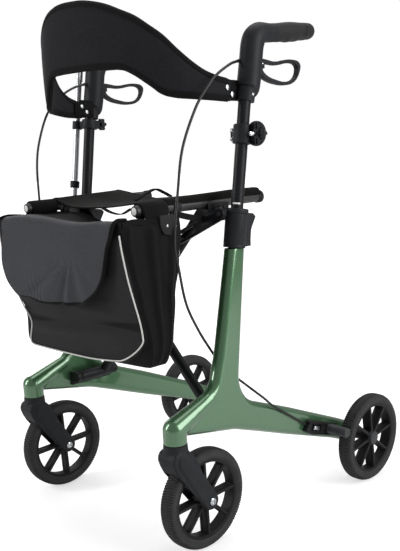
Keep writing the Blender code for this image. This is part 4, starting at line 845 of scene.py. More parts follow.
def handle_tube(finish, mark_finish):
    """Inner tube that slides in the post, with a white mark for the handle's height wrapped round it."""
    tube = lean_bar("telescopic_tube_left", 1, 0.406, 0.831, HANDLE_TUBE_RADIUS, 64)
    fit_pair(tube, finish, "handle", "black_coat", "handle_tube")
    across = Vector((1.0, 0.0, 0.0))
    up = Vector((0.0, LEAN, 1.0)).normalized()
    back = up.cross(across)

    def place(u, v):
        angle = math.radians(-92 + 72 * u)
        out = across * math.cos(angle) + back * math.sin(angle)
        return at(*on_lean(1, 0.6185)) + out * (HANDLE_TUBE_RADIUS + 0.0001) + up * 0.0030 * v

    mark = grid_piece("height_mark_left", 16, 2, place)
    modify(mark, "SOLIDIFY", thickness=0.0002, offset=0.0)
    fit_pair(mark, mark_finish, "handle", "bright_steel")


def handle_sleeve(finish, bolt_finish):
    """Elbow casting from the tube to the grip, swelling around the brake's mechanism."""
    spine = [
        (FRAME_X, 0.1470, SLEEVE_BOTTOM_Z, 0.0152),
        (FRAME_X, 0.1484, 0.800, 0.0154),
        (FRAME_X, 0.1500, 0.808, 0.0166),
        (FRAME_X, 0.1540, 0.814, 0.0196),
        (FRAME_X, 0.1558, 0.822, 0.0206),
        (FRAME_X, 0.1605, 0.845, 0.0208),
        (FRAME_X, 0.1643, 0.868, 0.0204),
        (FRAME_X, 0.1672, 0.884, 0.0204),
        (FRAME_X, 0.1728, 0.897, 0.0204),
        (FRAME_X, 0.1832, 0.9055, 0.0187),
        (FRAME_X, 0.1950, 0.9082, 0.0170),
        (FRAME_X, 0.2080, 0.9090, 0.0159),
        (FRAME_X, GRIP_START_Y, GRIP_START_Z, 0.0156),
    ]
    body = pipe("handle_sleeve_shell_left", flowing(spine, 5), sides=40)
    for cheek_side in (-1, 1):
        join(body, box("brake_cheek", (0.0032, 0.022, 0.016),
                       (FRAME_X + cheek_side * 0.0080, BRAKE_PIVOT_Y - 0.0075, BRAKE_PIVOT_Z), 0.0014))
    clear = box("lever_slot", (0.0126, 0.034, 0.042), (FRAME_X, BRAKE_PIVOT_Y + 0.0085, BRAKE_PIVOT_Z - 0.009))
    socket = lean_bar("tube_socket", 1, 0.78, 0.833, HANDLE_TUBE_RADIUS + GAP)
    cut(body, clear, socket)
    fit_pair(body, finish, "handle", "black_plastic", "handle_sleeve", angle=40)
    for name, profile, foot, axis in (
            ("sleeve_bolt_left", BUTTON_HEAD, (FRAME_X + 0.0153, 0.1490, 0.8040), (1.0, -0.15, 0.0)),
            ("brake_pivot_cap_left", PIN_CAP, (FRAME_X + 0.0094, BRAKE_PIVOT_Y - 0.0015, BRAKE_PIVOT_Z),
             (1.0, 0.0, 0.0))):
        bolt = spun(name, profile, foot, axis, 32)
        fit_pair(bolt, bolt_finish, "handle", "bright_steel")


def rubber_grip(finish):
    """Grip with a palm swell, shallow rings near both ends and a round closed end."""
    shape = [(0.0003, 0.0154), (0.002, 0.0158), (0.010, 0.0158), (0.022, 0.0163), (0.040, 0.0171),
             (0.058, 0.0167), (0.078, 0.0154), (0.093, 0.0149), (0.103, 0.0140), (0.1090, 0.0115),
             (0.1122, 0.0072), (0.1130, 0.0012)]
    fine = []
    for along, radius in flowing(shape, 6):
        ring = 0.0004 if 0.004 < along < 0.018 and math.sin(along * 2500) > 0.2 else 0.0
        fine.append((FRAME_X, GRIP_START_Y + along, GRIP_START_Z + along * GRIP_SLOPE, radius - ring))
    body = pipe("rubber_grip_left", fine, sides=40)
    start = at(FRAME_X, GRIP_START_Y, GRIP_START_Z)
    axis = Vector((0.0, 1.0, GRIP_SLOPE)).normalized()
    for corner in body.data.vertices:
        along = (corner.co - start).dot(axis)
        out = corner.co - start - axis * along
        if out.length > 0.004:
            wave = 0.5 + 0.5 * math.cos(along * 2 * math.pi / FINGER_WIDTH)
            finger = 0.0007 * wave * smooth_step(-out.z / 0.012)
            corner.co -= out.normalized() * finger * smooth_step((0.105 - along) / 0.02)
    fit_pair(body, finish, "handle", "grip_rubber", "grip", angle=50)
    for step in range(5):
        y = GRIP_START_Y + 0.079 + 0.0050 * step
        z = GRIP_START_Z + (y - GRIP_START_Y) * GRIP_SLOPE
        half_ring = arc((FRAME_X, z), 0.0155 - 0.0004 * step, -32, 32, 8)
        rib_route = [(across, y + 0.003 * (turn / 8 - 0.5), height)
                     for turn, (across, height) in enumerate(half_ring)]
        rib = pipe(f"grip_rib_{step}_left", rib_route, 0.0008, 8)
        fit_pair(rib, finish, "handle", "grip_rubber")


def brake_lever(finish):
    """Finger loop with rounded edges, hinged between the two cheeks of the sleeve."""
    outer = ring_through([(0.1800, 0.8625), (0.1860, 0.8652), (0.2008, 0.8641), (0.2178, 0.8622),
                          (0.2351, 0.8635), (0.2492, 0.8662), (0.2630, 0.8680), (0.2798, 0.8679),
                          (0.2900, 0.8655), (0.2955, 0.8595), (0.2945, 0.8515), (0.2885, 0.8399),
                          (0.2790, 0.8308), (0.2643, 0.8248), (0.2446, 0.8230), (0.2253, 0.8243),
                          (0.2080, 0.8272), (0.1946, 0.8317), (0.1850, 0.8374), (0.1792, 0.8450),
                          (0.1780, 0.8550)])
    inner = ring_through([(0.1915, 0.8553), (0.2039, 0.8567), (0.2210, 0.8559), (0.2349, 0.8570),
                          (0.2491, 0.8600), (0.2660, 0.8622), (0.2795, 0.8612), (0.2866, 0.8565),
                          (0.2872, 0.8490), (0.2830, 0.8405), (0.2740, 0.8335), (0.2600, 0.8300),
                          (0.2430, 0.8292), (0.2289, 0.8310), (0.2110, 0.8344), (0.1983, 0.8391),
                          (0.1905, 0.8450), (0.1888, 0.8510)])
    body = slab("brake_loop_left", outer, "x", FRAME_X, 0.012)
    cut(body, slab("finger_hole", inner, "x", FRAME_X, 0.03))
    soften(body, 0.0027, 4, 50)
    join(body, cross_pin("brake_pin", (FRAME_X, BRAKE_PIVOT_Y, BRAKE_PIVOT_Z), 0.0090, 0.0022, 24))
    fit_pair(body, finish, "brake_lever", "black_plastic", "brake_lever", angle=45)


# Cable routes as (distance across from the middle, y, z)
CABLE_TOPS = {"left": [(0.2125, 0.1490, 0.8615), (0.2195, 0.1290, 0.8575), (0.2260, 0.1065, 0.8510),
                       (0.2265, 0.074, 0.8330), (0.2265, 0.048, 0.8090), (0.2265, 0.022, 0.7790),
                       (0.2265, -0.011, 0.7170), (0.2265, -0.026, 0.6500), (0.2255, -0.038, 0.5700),
                       (0.2245, -0.030, 0.5180), (0.2215, -0.015, 0.4600)],
              "right": [(0.2250, 0.1450, 0.8640), (0.2260, 0.132, 0.8606), (0.2265, 0.108, 0.8535),
                        (0.2265, 0.076, 0.8360), (0.2265, 0.039, 0.8010), (0.2265, 0.013, 0.7445),
                        (0.2265, 0.003, 0.6990), (0.2265, 0.001, 0.6500), (0.2255, 0.000, 0.5800),
                        (0.2245, 0.001, 0.5180), (0.2215, 0.006, 0.4600)],}
CABLE_FOOT = [
    (0.2155, 0.0140, 0.4120), (0.2062, 0.0480, 0.3710), (0.2040, 0.0780, 0.3340), (0.2040, 0.1070, 0.3060),
    (0.2075, 0.1290, 0.2870), (0.2150, 0.1410, 0.2745), (0.2290, 0.1490, 0.2625), (0.2405, 0.1590, 0.2500),
    (0.2430, 0.1770, 0.2330), (0.2430, 0.2050, 0.2140), (0.2425, 0.2330, 0.1955), (0.2422, 0.2630, 0.1760),
    (0.2422, 0.2840, 0.1620),
]


def brake_cables(finish, ferrule_finish):
    """Outer cables from the sleeves into the brake housings, each with a ferrule at its upper end."""
    for label, side in SIDES:
        route = [(side * x, y, z) for x, y, z in CABLE_TOPS[label] + CABLE_FOOT]
        cable = pipe(f"brake_cable_outer_{label}", flowing(route, 6), 0.0023, 14)
        take(cable)
        bpy.ops.object.shade_smooth_by_angle(angle=math.radians(50))
        cable.data.materials.append(finish)
        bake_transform(cable)
        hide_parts(f"brake_cable_{label}")
        start = Vector(route[0])
        away = (Vector(route[1]) - start).normalized()
        ferrule = bar(f"cable_ferrule_{label}", start - away * 0.004, start + away * 0.012, 0.0034, 24, 0.0027,
                      rim=0.0006)
        fit(ferrule, ferrule_finish, f"{label}_handle", "black_plastic")


# Clips, stick and its cup


def left_clip(finish, bolt_finish):
    """Band around the left handle tube with a ribbed round holder and its star knob."""
    x = FRAME_X + 0.0265
    y = lean_y(CLAMP_Z) + 0.004
    body = lean_bar("holder_clip_left", 1, CLAMP_Z - 0.016, CLAMP_Z + 0.016, 0.0165, rim=0.0015)
    disc = bar("holder_disc", (x, y, CLAMP_Z), (x, y + 0.006, CLAMP_Z), 0.021, 64, rim=0.0012)
    join(body, disc)
    for level in (y - 0.0008, y + 0.0068):
        cut(body, spun("disc_recess", [(-0.0032, 0.0085), (-0.0032, 0.0178), (0.0032, 0.0178),
                                       (0.0032, 0.0085)], (x, level, CLAMP_Z), (0.0, 1.0, 0.0), 48))
    for step in range(8):
        angle = 2 * math.pi * step / 8
        rib = box("disc_rib", (0.012, 0.0055, 0.0022), (x, y + 0.003, CLAMP_Z))
        open_up(rib)
        bpy.ops.transform.translate(value=(0.0135, 0.0, 0.0))
        bpy.ops.transform.rotate(value=-angle, orient_axis="Y", center_override=at(x, y, CLAMP_Z))
        close_up()
        join(body, rib)
    join(body, box("clamp_lug", (0.010, 0.012, 0.022), on_lean(1, CLAMP_Z, -0.0185), 0.0015))
    cut(body, lean_bar("clip_bore", 1, CLAMP_Z - 0.04, CLAMP_Z + 0.04, HANDLE_TUBE_RADIUS + GAP),
        bar("knob_bore", (x, y - 0.01, CLAMP_Z), (x, y + 0.02, CLAMP_Z), 0.0033, 24))
    fit(body, finish, "left_handle", "black_plastic", "stick_clip_left")
    for word, level in (("low", -0.007), ("high", 0.007)):
        screw = spun(f"clamp_screw_{word}", BUTTON_HEAD, on_lean(1, CLAMP_Z + level, -0.0195, -0.006),
                     (0.0, -1.0, 0.0), 24)
        fit(screw, bolt_finish, "left_handle", "bright_steel")
    star_knob("star_knob_left", x, y + 0.0063, CLAMP_Z, y - 0.0018, finish, "left_knob", "clip_knob_left")
    profile = [(0.0, 0.0), (0.0, 0.0040), (0.0100, 0.0040), (0.0110, 0.0034), (0.0112, 0.0018),
               (0.0100, 0.0017), (0.0100, 0.0)]
    head = spun("knob_bolt_head", profile, (x, y - 0.0004, CLAMP_Z), (0.0, -1.0, 0.0), 32)
    fit(head, bolt_finish, "left_knob", "bright_steel")


def star_knob(name, x, back, z, shaft_front, finish, body, node):
    """Five-lobed knob, its bolt running forwards through the clip."""
    lobes = []
    for step in range(120):
        angle = 2 * math.pi * step / 120
        radius = 0.0100 + 0.0022 * math.tanh(2.5 * math.cos(5 * angle))
        lobes.append((x + radius * math.cos(angle), z + radius * math.sin(angle)))
    knob = slab(name, lobes, "y", back + 0.0065, 0.013)
    soften(knob, 0.0010, 3, 60)
    gather(knob, bar("knob_bolt", (x, shaft_front, z), (x, back + 0.004, z), 0.003, 24))
    fit(knob, finish, body, "black_plastic", node, angle=45)


def on_stick(z):
    """A point on the walking stick's axis, which leans as the posts do."""
    return (STICK_X, lean_y(z) - STICK_FORWARD, z)


def stick_bar(name, low, high, radius, sides=40, end_radius=None, rim=0.0):
    """A round bar on the walking stick's axis."""
    return bar(name, on_stick(low), on_stick(high), radius, sides, end_radius, rim)


def right_clip(finish):
    """Band around the right handle tube with an open hook for the walking stick."""
    z = HOOK_CLIP_Z
    body = lean_bar("holder_clip_right", -1, z - 0.009, z + 0.009, 0.0165, rim=0.0012)
    half = 0.008
    tube_y = lean_y(z)
    stick_y = on_stick(z)[1]
    hook = stick_bar("stick_hook", z - half, z + half, 0.0102, rim=0.0008)
    bridge = box("hook_bridge", (0.016, 0.009, 2 * half), (-FRAME_X - 0.0200, stick_y + 0.004, z), 0.0012)
    boss = box("knob_boss", (0.013, 0.010, 0.013), (-FRAME_X, tube_y + 0.0185, z), 0.0012)
    join(body, hook, bridge, boss)
    cut(body, lean_bar("clip_bore", -1, z - 0.04, z + 0.04, HANDLE_TUBE_RADIUS + GAP),
        stick_bar("stick_room", z - 0.03, z + 0.03, 0.0075, 32),
        box("hook_mouth", (0.010, 0.009, 0.040), (STICK_X - 0.0075, stick_y, z)),
        bar("knob_bore", (-FRAME_X, tube_y + 0.013, z), (-FRAME_X, tube_y + 0.04, z), 0.0033, 24))
    fit(body, finish, "right_handle", "black_plastic", "stick_clip_right")
    star_knob("star_knob_right", -FRAME_X, tube_y + 0.0238, z, tube_y + 0.0135, finish, "right_knob",
              "clip_knob_right")


def walking_stick(finish, cup_finish):
    """Slim anodised stick with a moulded joint ring, and the cup on the side frame that it stands in."""
    axis = Vector((0.0, LEAN, 1.0))
    foot = STICK_FOOT_Z
    profile = [(0.0, 0.0), (0.0, 0.0050), (0.001, 0.0059)]
    for z, radius in ((0.6480, 0.0060), (0.6482, 0.0072), (0.6500, 0.0072), (0.6503, 0.0066), (0.6610, 0.0066),
                      (0.6613, 0.0072), (0.6638, 0.0072), (0.6640, 0.0060), (0.8700, 0.0060), (0.8702, 0.0075),
                      (0.9020, 0.0075), (0.9040, 0.0064), (0.9040, 0.0)):
        profile.append(((z - foot) * axis.length, radius))
    stick = spun("walking_stick_shaft", profile, on_stick(foot), axis, 48)
    fit(stick, finish, "walking_stick", "stick_tube", "walking_stick")
    ring = stick_bar("stick_joint_ring", 0.6490, 0.6635, 0.0100, rim=0.0012)
    cut(ring, stick_bar("ring_bore", 0.62, 0.69, 0.0074))
    fit(ring, cup_finish, "walking_stick", "black_plastic")
    cup = stick_bar("stick_cup_shell", foot - 0.006, foot + 0.030, 0.0092, 40, 0.0098, 0.0010)
    face = -(FRAME_X + FRAME_THICKNESS / 2 + GAP)
    reach = face - STICK_X - 0.0066
    middle = on_stick(foot + 0.012)
    join(cup, box("cup_foot", (reach, 0.014, 0.026), (face - reach / 2, *middle[1:]), 0.0015))
    cut(cup, stick_bar("cup_bore", foot - GAP, foot + 0.05, 0.0063, 32))
    fit(cup, cup_finish, "right_frame", "black_plastic", "stick_cup")


# Wheels, forks and brakes


def tyre_mould():
    """One tyre about the origin: tread cut into blocks by staggered notches, a ring on each sidewall."""
    half = TYRE_WIDTH / 2
    side = [(0.0958, 0.0070), (0.0945, 0.0108), (0.0915, 0.0145), (0.0875, half), (0.0835, 0.0158),
            (0.0820, 0.0160), (0.0812, 0.0152), (0.0804, 0.0156), (0.0785, 0.0146), (TYRE_BORE, 0.0126)]
    profile = [(WHEEL_RADIUS, 0.0), *side, *[(radius, -across) for radius, across in reversed(side)]]
    tyre = spun("tyre_mould", [(across, radius) for radius, across in profile], (0.0, -FRONT_AXLE_Y, 0.0),
                (1.0, 0.0, 0.0), 4 * TREAD_NOTCHES)
    for corner in tyre.data.vertices:
        place = corner.co
        radius = math.hypot(place.y, place.z)
        turn = math.atan2(place.z, place.y) / (2 * math.pi)
        phase = (turn * TREAD_NOTCHES + (0.5 if place.x > 0 else 0.0)) % 1.0
        if phase < 0.49 and abs(place.x) < 0.0150 and radius > 0.090:
            place.yz *= 1 - (0.0022 if abs(place.x) > 0.006 else 0.0011) / radius
    return tyre


def copy_to(piece, name, centre):
    """A copy of a piece made about the origin, moved to its place."""
    take(piece)
    bpy.ops.object.duplicate()
    twin = named(name)
    open_up(twin)
    bpy.ops.transform.translate(value=at(*centre))
    close_up()
    return twin


def rim_mould(name, hub_half, phase):
    """One rim about the origin: barrel with lips, eight ribbed plank spokes and a hub."""
    outer = TYRE_BORE - GAP
    half = RIM_WIDTH / 2
    barrel = [(-half, outer), (-half, 0.0716), (-half + 0.0014, 0.0704), (0.0, 0.0700), (half - 0.0014, 0.0704),
              (half, 0.0716), (half, outer)]
    origin = (0.0, -FRONT_AXLE_Y, 0.0)
    body = spun(name, barrel, origin, (1.0, 0.0, 0.0), 96)
    hub = [(-hub_half, 0.0053), (-hub_half, 0.0120), (-half, 0.0150), (-half + 0.002, HUB_RADIUS),
           (half - 0.002, HUB_RADIUS), (half, 0.0150), (hub_half, 0.0120), (hub_half, 0.0053)]
    join(body, spun("hub", hub, origin, (1.0, 0.0, 0.0), 64))
    for step in range(SPOKES):
        spoke = box("spoke", (0.0220, 0.0600, 0.0060), (0.0, -FRONT_AXLE_Y + 0.0430, 0.0))
        soften(spoke, 0.0009, 2)
        pick_faces(spoke, lambda face: abs(face.normal.z) > 0.9)
        bpy.ops.mesh.inset(thickness=0.0045, depth=-0.0009)
        bpy.ops.mesh.select_all(action="SELECT")
        bpy.ops.transform.rotate(value=-2 * math.pi * (step + phase) / SPOKES, orient_axis="X",
                                 center_override=(0.0, 0.0, 0.0))
        close_up()
        join(body, spoke)
    return body


def wheels(rubber, rim_finish, steel, cap_finish, axle_finish):
    """Tyres and rims copied from their moulds, front axle bolts, and rear axles with nut and hub cap."""
    tyre = tyre_mould()
    front_rim = rim_mould("front_rim_mould", 0.0172, 0.04)
    rear_rim = rim_mould("rear_rim_mould", 0.0135, 0.17)
    for label, side in SIDES:
        for end, rim, x, y in (("front", front_rim, FRAME_X, 0.0), ("rear", rear_rim, REAR_WHEEL_X, WHEELBASE)):
            centre = (side * x, y, WHEEL_RADIUS)
            wheel = f"{label}_{end}_wheel"
            fit(copy_to(tyre, f"{end}_tread_{label}", centre), rubber, wheel, "tyre_rubber",
                f"{end}_tyre_{label}", angle=32)
            fit(copy_to(rim, f"{end}_spider_{label}", centre), rim_finish, wheel, "black_plastic",
                f"{end}_rim_{label}")
    for mould in (tyre, front_rim, rear_rim):
        bpy.data.objects.remove(mould)

    cap_head = [(0.0, 0.0), (0.0, 0.0072), (0.0016, 0.0072), (0.0027, 0.0060), (0.0031, 0.0042),
                (0.0031, 0.0034), (0.0014, 0.0032), (0.0014, 0.0)]
    for label, side in SIDES:
        shaft = cross_pin(f"front_axle_shaft_{label}", (side * FRAME_X, 0.0, WHEEL_RADIUS), 0.0256, 0.0050, 32)
        for end in (-1, 1):
            foot = (side * FRAME_X + end * 0.0252, 0.0, WHEEL_RADIUS)
            gather(shaft, spun("axle_head", cap_head, foot, (end, 0.0, 0.0), 40))
        fit(shaft, steel, f"{label}_caster", "bright_steel", f"front_axle_{label}")

    x = REAR_WHEEL_X + RIM_WIDTH / 2 + 0.0013
    dome = [(0.0, 0.0), (0.0, 0.0140), (0.0010, 0.0140), (0.0017, 0.0132), (0.0020, 0.0112), (0.0015, 0.0104),
            (0.0015, 0.0096), (0.0023, 0.0090), (0.0026, 0.0050), (0.0026, 0.0)]
    cap = spun("hub_cap_left", dome, (x, WHEELBASE, WHEEL_RADIUS), (1.0, 0.0, 0.0), 64)
    fit_pair(cap, cap_finish, "frame", "black_plastic")
    inner = FRAME_X - FRAME_THICKNESS / 2 - GAP
    outer = FRAME_X + FRAME_THICKNESS / 2 + GAP
    axle = (WHEELBASE, WHEEL_RADIUS)
    shaft = bar("rear_axle_shaft_left", (inner - 0.001, *axle), (x + 0.0005, *axle), 0.0050, 32)
    nut = bar("axle_nut", (inner - 0.006, *axle), (inner, *axle), 0.009, 6)
    soften(nut, 0.0007, 2)
    spacer = bar("axle_spacer", (outer, *axle), (REAR_WHEEL_X - RIM_WIDTH / 2 - 0.0033, *axle), 0.012, 40,
                 0.0095, 0.001)
    join(shaft, nut, spacer)
    fit_pair(shaft, axle_finish, "frame", "black_coat", "rear_axle")


def stem_bar(name, low, high, radius, sides, end_radius=None):
    """A round bar on the upright axis that a caster turns about."""
    return bar(name, (FRAME_X, -CASTER_TRAIL, low), (FRAME_X, -CASTER_TRAIL, high), radius, sides, end_radius)


def caster_fork(finish):
    """Swept fork: round crown under the head, two blades with raised pads, smooth as a casting."""
    blade_turn = math.degrees(math.atan2(-0.506, -0.863))
    end = arc((0.0, WHEEL_RADIUS), 0.018, blade_turn, blade_turn + 180, 16)
    blade = [(-0.0700, 0.2110), (-0.0800, 0.2075), (-0.0850, 0.2000), (-0.0855, 0.1920), (-0.0815, 0.1800),
             (-0.0740, 0.1650), *end, (-0.0060, 0.1380), (-0.0170, 0.1570), (-0.0235, 0.1740),
             (-0.0350, 0.1960), (-0.0450, 0.2070)]
    body = slab("caster_fork_shell_left", blade, "x", FRAME_X, 2 * (FORK_HALF_WIDTH - 0.0026))
    soften(body, 0.0034, 3, 30)
    join(body, stem_bar("fork_crown", 0.186, FORK_TOP_Z + 0.006, 0.0238, 64, 0.0210))
    pad_end = arc((0.0, WHEEL_RADIUS), 0.0162, blade_turn, blade_turn + 180, 16)
    pad_top = arc((-0.0585, 0.1900), 0.0156, blade_turn + 180, blade_turn + 360, 12)
    for side in (-1, 1):
        pad = slab("blade_pad", [*pad_end, *pad_top], "x", FRAME_X + side * (FORK_HALF_WIDTH - 0.004), 0.008)
        soften(pad, 0.0014, 3, 50)
        join(body, pad)
    axle = (FRAME_X, 0.0, WHEEL_RADIUS)
    cut(body, cross_pin("wheel_room", axle, WHEEL_ROOM, WHEEL_RADIUS + 0.006, 96))
    melt(body, 0.0012, 3)
    cut(body, box("above_crown", (0.08, 0.08, 0.02), (FRAME_X, -CASTER_TRAIL, FORK_TOP_Z + 0.010)),
        cross_pin("axle_bore", axle, 0.04, 0.0053, 32))
    join(body, stem_bar("caster_stem", FORK_TOP_Z - 0.004, 0.246, 0.007, 32),
         stem_bar("stem_seal", FORK_TOP_Z - 0.001, HEAD_FOOT_Z + 0.0005, 0.0185, 48))
    fit_pair(body, finish, "caster", "black_plastic", "caster_fork", angle=50)


def brake_unit(finish, adjuster_finish, shoe_finish):
    """Box on the rear arm with a roofed top and an adjuster, and the grey bar that is pressed on the tread."""
    face = FRAME_X + FRAME_THICKNESS / 2 + GAP
    outline = rounded([(0.276, 0.150, 0.004), (0.292, 0.168, 0.004), (0.372, 0.139, 0.004),
                       (0.366, 0.118, 0.006), (0.300, 0.136, 0.010)], 5)
    body = slab("brake_box_left", outline, "x", face + 0.0055, 0.011)
    soften(body, 0.0014, 3, 45)
    roof = slab("box_roof", rounded([(0.284, 0.1665, 0.001), (0.292, 0.1702, 0.001), (0.378, 0.1392, 0.001),
                                     (0.376, 0.1348, 0.001)], 3), "x", face + 0.0068, 0.0136)
    soften(roof, 0.0008, 2, 45)
    well = bar("adjuster_well", (face + 0.0085, 0.295, 0.1545), (face + 0.0085, 0.326, 0.1430), 0.0068, 32)
    centre = Vector((SHOE_Y, SHOE_Z))
    slide = (Vector((WHEELBASE, WHEEL_RADIUS)) - centre).normalized()
    across = Vector((-slide.y, slide.x)) * 0.0065
    back = centre - slide * 0.0065
    front = centre + slide * 0.0101
    slot = [(*corner, 0.002) for corner in (back - across, front - across, front + across, back + across)]
    room = slab("shoe_slot", rounded(slot, 4), "x", face + 0.008, 0.008)
    join(body, roof)
    cut(body, well, room)
    fit_pair(body, finish, "frame", "black_plastic", "brake_housing")
    adjuster = bar("cable_adjuster_left", (face + 0.0100, 0.3005, 0.1523), (face + 0.0100, 0.3190, 0.1454),
                   0.0050, 32, rim=0.0022)
    fit_pair(adjuster, adjuster_finish, "frame", "bright_steel")

    start = face + 0.0113
    length = SHOE_END_X - start
    profile = [(-0.006, 0.0), (-0.006, 0.0055), (0.0, 0.0055), (0.0, 0.0088), (0.0012, 0.0096),
               (0.0050, 0.0096), (0.0056, 0.0090), (0.0066, 0.0090), (0.0072, 0.0104), (0.0085, 0.0105),
               (length - 0.0022, 0.0105), (length - 0.0007, 0.0098), (length, 0.0084), (length, 0.0050),
               (length - 0.0008, 0.0046), (length - 0.0008, 0.0)]
    shoe = spun("brake_roller_left", profile, (start, SHOE_Y, SHOE_Z), (1.0, 0.0, 0.0), 56)
    fit_pair(shoe, shoe_finish, "brake_shoe", "grey_plastic", "brake_shoe")


# Cross brace, guide links and seat tubes


def link_plane_y(side):
    """Where a guide link stands between the two braces."""
    return (BRACE_A_Y + BRACE_B_Y) / 2 - 0.0015 + side * 0.004


def seat_tube_z(y):
    """Height of the seat tubes' axis, which rises a little to the rear."""
    share = (y - SEAT_TUBE_FRONT_Y) / (SEAT_TUBE_REAR_Y - SEAT_TUBE_FRONT_Y)
    return SEAT_TUBE_FRONT_Z + SEAT_TUBE_RISE * share


def on_rail(x, y):
    """A point on a seat tube's axis."""
    return (x, y, seat_tube_z(y))


def rail_bar(name, x, front_y, rear_y, radius, rim=0.0):
    """A round bar on a seat tube's axis."""
    return bar(name, on_rail(x, front_y), on_rail(x, rear_y), radius, 48, rim=rim)


def fold_bracket(finish):
    """Two lugs on the inside of the frame and the pivot tube between them."""
    face = FRAME_X - FRAME_THICKNESS / 2 - GAP
    middle = (BRACE_A_Y + BRACE_B_Y) / 2
    body = bar("fold_hinge_left", (FOLD_PIVOT_X, middle - 0.054, FOLD_PIVOT_Z),
               (FOLD_PIVOT_X, middle + 0.054, FOLD_PIVOT_Z), 0.006, 32, rim=0.001)
    for y in (middle - 0.048, middle + 0.048):
        outline = [(face, 0.236), (face, 0.258), *arc((FOLD_PIVOT_X, FOLD_PIVOT_Z), 0.0115, 90, 270, 20)]
        lug = slab("hinge_lug", outline, "y", y, 0.012)
        soften(lug, 0.0012, 3, 50)
        join(body, lug)
    join(body, box("hinge_foot", (0.004, 0.108, 0.022), (face - 0.002, middle, 0.238), 0.0012))
    fit_pair(body, finish, "frame", "black_coat", "fold_bracket")


def brace_bar(name, side, y, cradle_length, finish, body_name, node):
    """Brace from the lower hinge on one side to the casting under the seat tube on the other."""
    low_x = side * FOLD_PIVOT_X
    top_z = seat_tube_z(y)
    top_x = -side * SEAT_TUBE_X
    body = bar(name, (low_x, y, FOLD_PIVOT_Z), (top_x + side * 0.006, y, top_z - 0.006), BRACE_RADIUS, 48)
    middle = (BRACE_A_Y + BRACE_B_Y) / 2
    half = 0.0417
    sleeve = bar("hinge_sleeve", (low_x, middle - half, FOLD_PIVOT_Z), (low_x, middle + half, FOLD_PIVOT_Z),
                 0.012, rim=0.0012)
    hub = bar("centre_hub", (0.0, y - 0.011, CENTRE_PIVOT_Z), (0.0, y + 0.011, CENTRE_PIVOT_Z), 0.014,
              rim=0.0015)

    def under_tube(corners):
        return [(top_x - side * u, top_z + v) for u, v in corners]

    front = y - 0.0125
    corners = [(-0.015, -0.001, 0.001), (0.015, -0.001, 0.001), (0.015, -0.018, 0.004), (0.004, -0.035, 0.004),
               (-0.015, -0.035, 0.003)]
    cradle = slab("seat_casting", under_tube(rounded(corners, 4)), "y", front + cradle_length / 2,
                  cradle_length)
    soften(cradle, 0.0018, 3, 50)
    join(body, sleeve, hub, cradle)
    for step in range(3):
        ridge = under_tube([(0.0140, -0.004), (0.0166, -0.006), (0.0166, -0.017), (0.0050, -0.0345)])
        rib = slab("casting_rib", ridge, "y", front + cradle_length * (step + 1) / 4, 0.0022)
        soften(rib, 0.0005, 2, 50)
        join(body, rib)
    reach = link_plane_y(-side)
    reach += 0.004 if reach > y else -0.004
    pin_x = -side * LINK_PIN_X
    join(body, bar("guide_pin", (pin_x, y, LINK_PIN_Z), (pin_x, reach, LINK_PIN_Z), 0.0030, 24, rim=0.0006))
    cut(body, rail_bar("tube_room", top_x, SEAT_TUBE_FRONT_Y, SEAT_TUBE_REAR_Y, SEAT_TUBE_RADIUS + GAP))
    fit(body, finish, body_name, "black_coat", node)


def centre_bolt(finish):
    """The bolt that the braces turn on, with a spacer, a socket head in front and a nut behind."""
    hub_half = 0.0113
    front = BRACE_A_Y - hub_half
    rear = BRACE_B_Y + hub_half
    z = CENTRE_PIVOT_Z
    bolt = bar("centre_bolt_shaft", (0.0, front - 0.001, z), (0.0, rear + 0.001, z), 0.004, 32)
    spacer = bar("brace_spacer", (0.0, BRACE_A_Y + hub_half, z), (0.0, BRACE_B_Y - hub_half, z), 0.008,
                 rim=0.0008)
    profile = [(0.0, 0.0), (0.0, 0.0080), (0.0022, 0.0080), (0.0036, 0.0066), (0.0040, 0.0040),
               (0.0040, 0.0032), (0.0020, 0.0030), (0.0020, 0.0)]
    head = spun("bolt_head", profile, (0.0, front, z), (0.0, -1.0, 0.0), 40)
    nut = bar("nut", (0.0, rear, z), (0.0, rear + 0.005, z), 0.008, 6)
    soften(nut, 0.0006, 2)
    join(bolt, spacer, nut)
    gather(bolt, head)
    fit(bolt, finish, "brace_a", "bright_steel", "centre_bolt")


def guide_links(finish):
    """Slotted bars from the collars to the pins on the braces."""
    away = Vector((LINK_PIN_X - LINK_COLLAR_X, LINK_PIN_Z - LINK_COLLAR_Z))
    along = away.normalized()
    angle = math.degrees(math.atan2(along.y, along.x))

    def on_link(distance):
        return LINK_COLLAR_X + along.x * distance, LINK_COLLAR_Z + along.y * distance

    def oval(start, end, radius, steps):
        return [*arc(end, radius, angle - 90, angle + 90, steps),
                *arc(start, radius, angle + 90, angle + 270, steps)]

    slot_end = on_link(away.length + 0.004)
    outer = oval((LINK_COLLAR_X, LINK_COLLAR_Z), slot_end, 0.0115, 20)
    slot = oval(on_link(0.074), slot_end, 0.0061, 14)
    for label, side in SIDES:
        y = link_plane_y(side)
        x = side * LINK_COLLAR_X
        body = slab(f"slotted_link_{label}", flipped(outer, side), "y", y, 0.006)
        cut(body, slab("slot", flipped(slot, side), "y", y, 0.02),
            bar("eye", (x, y - 0.01, LINK_COLLAR_Z), (x, y + 0.01, LINK_COLLAR_Z), 0.0043, 32))
        soften(body, 0.0010, 3, 50)
        fit(body, finish, f"{label}_guide_link", "black_coat", f"guide_link_{label}")


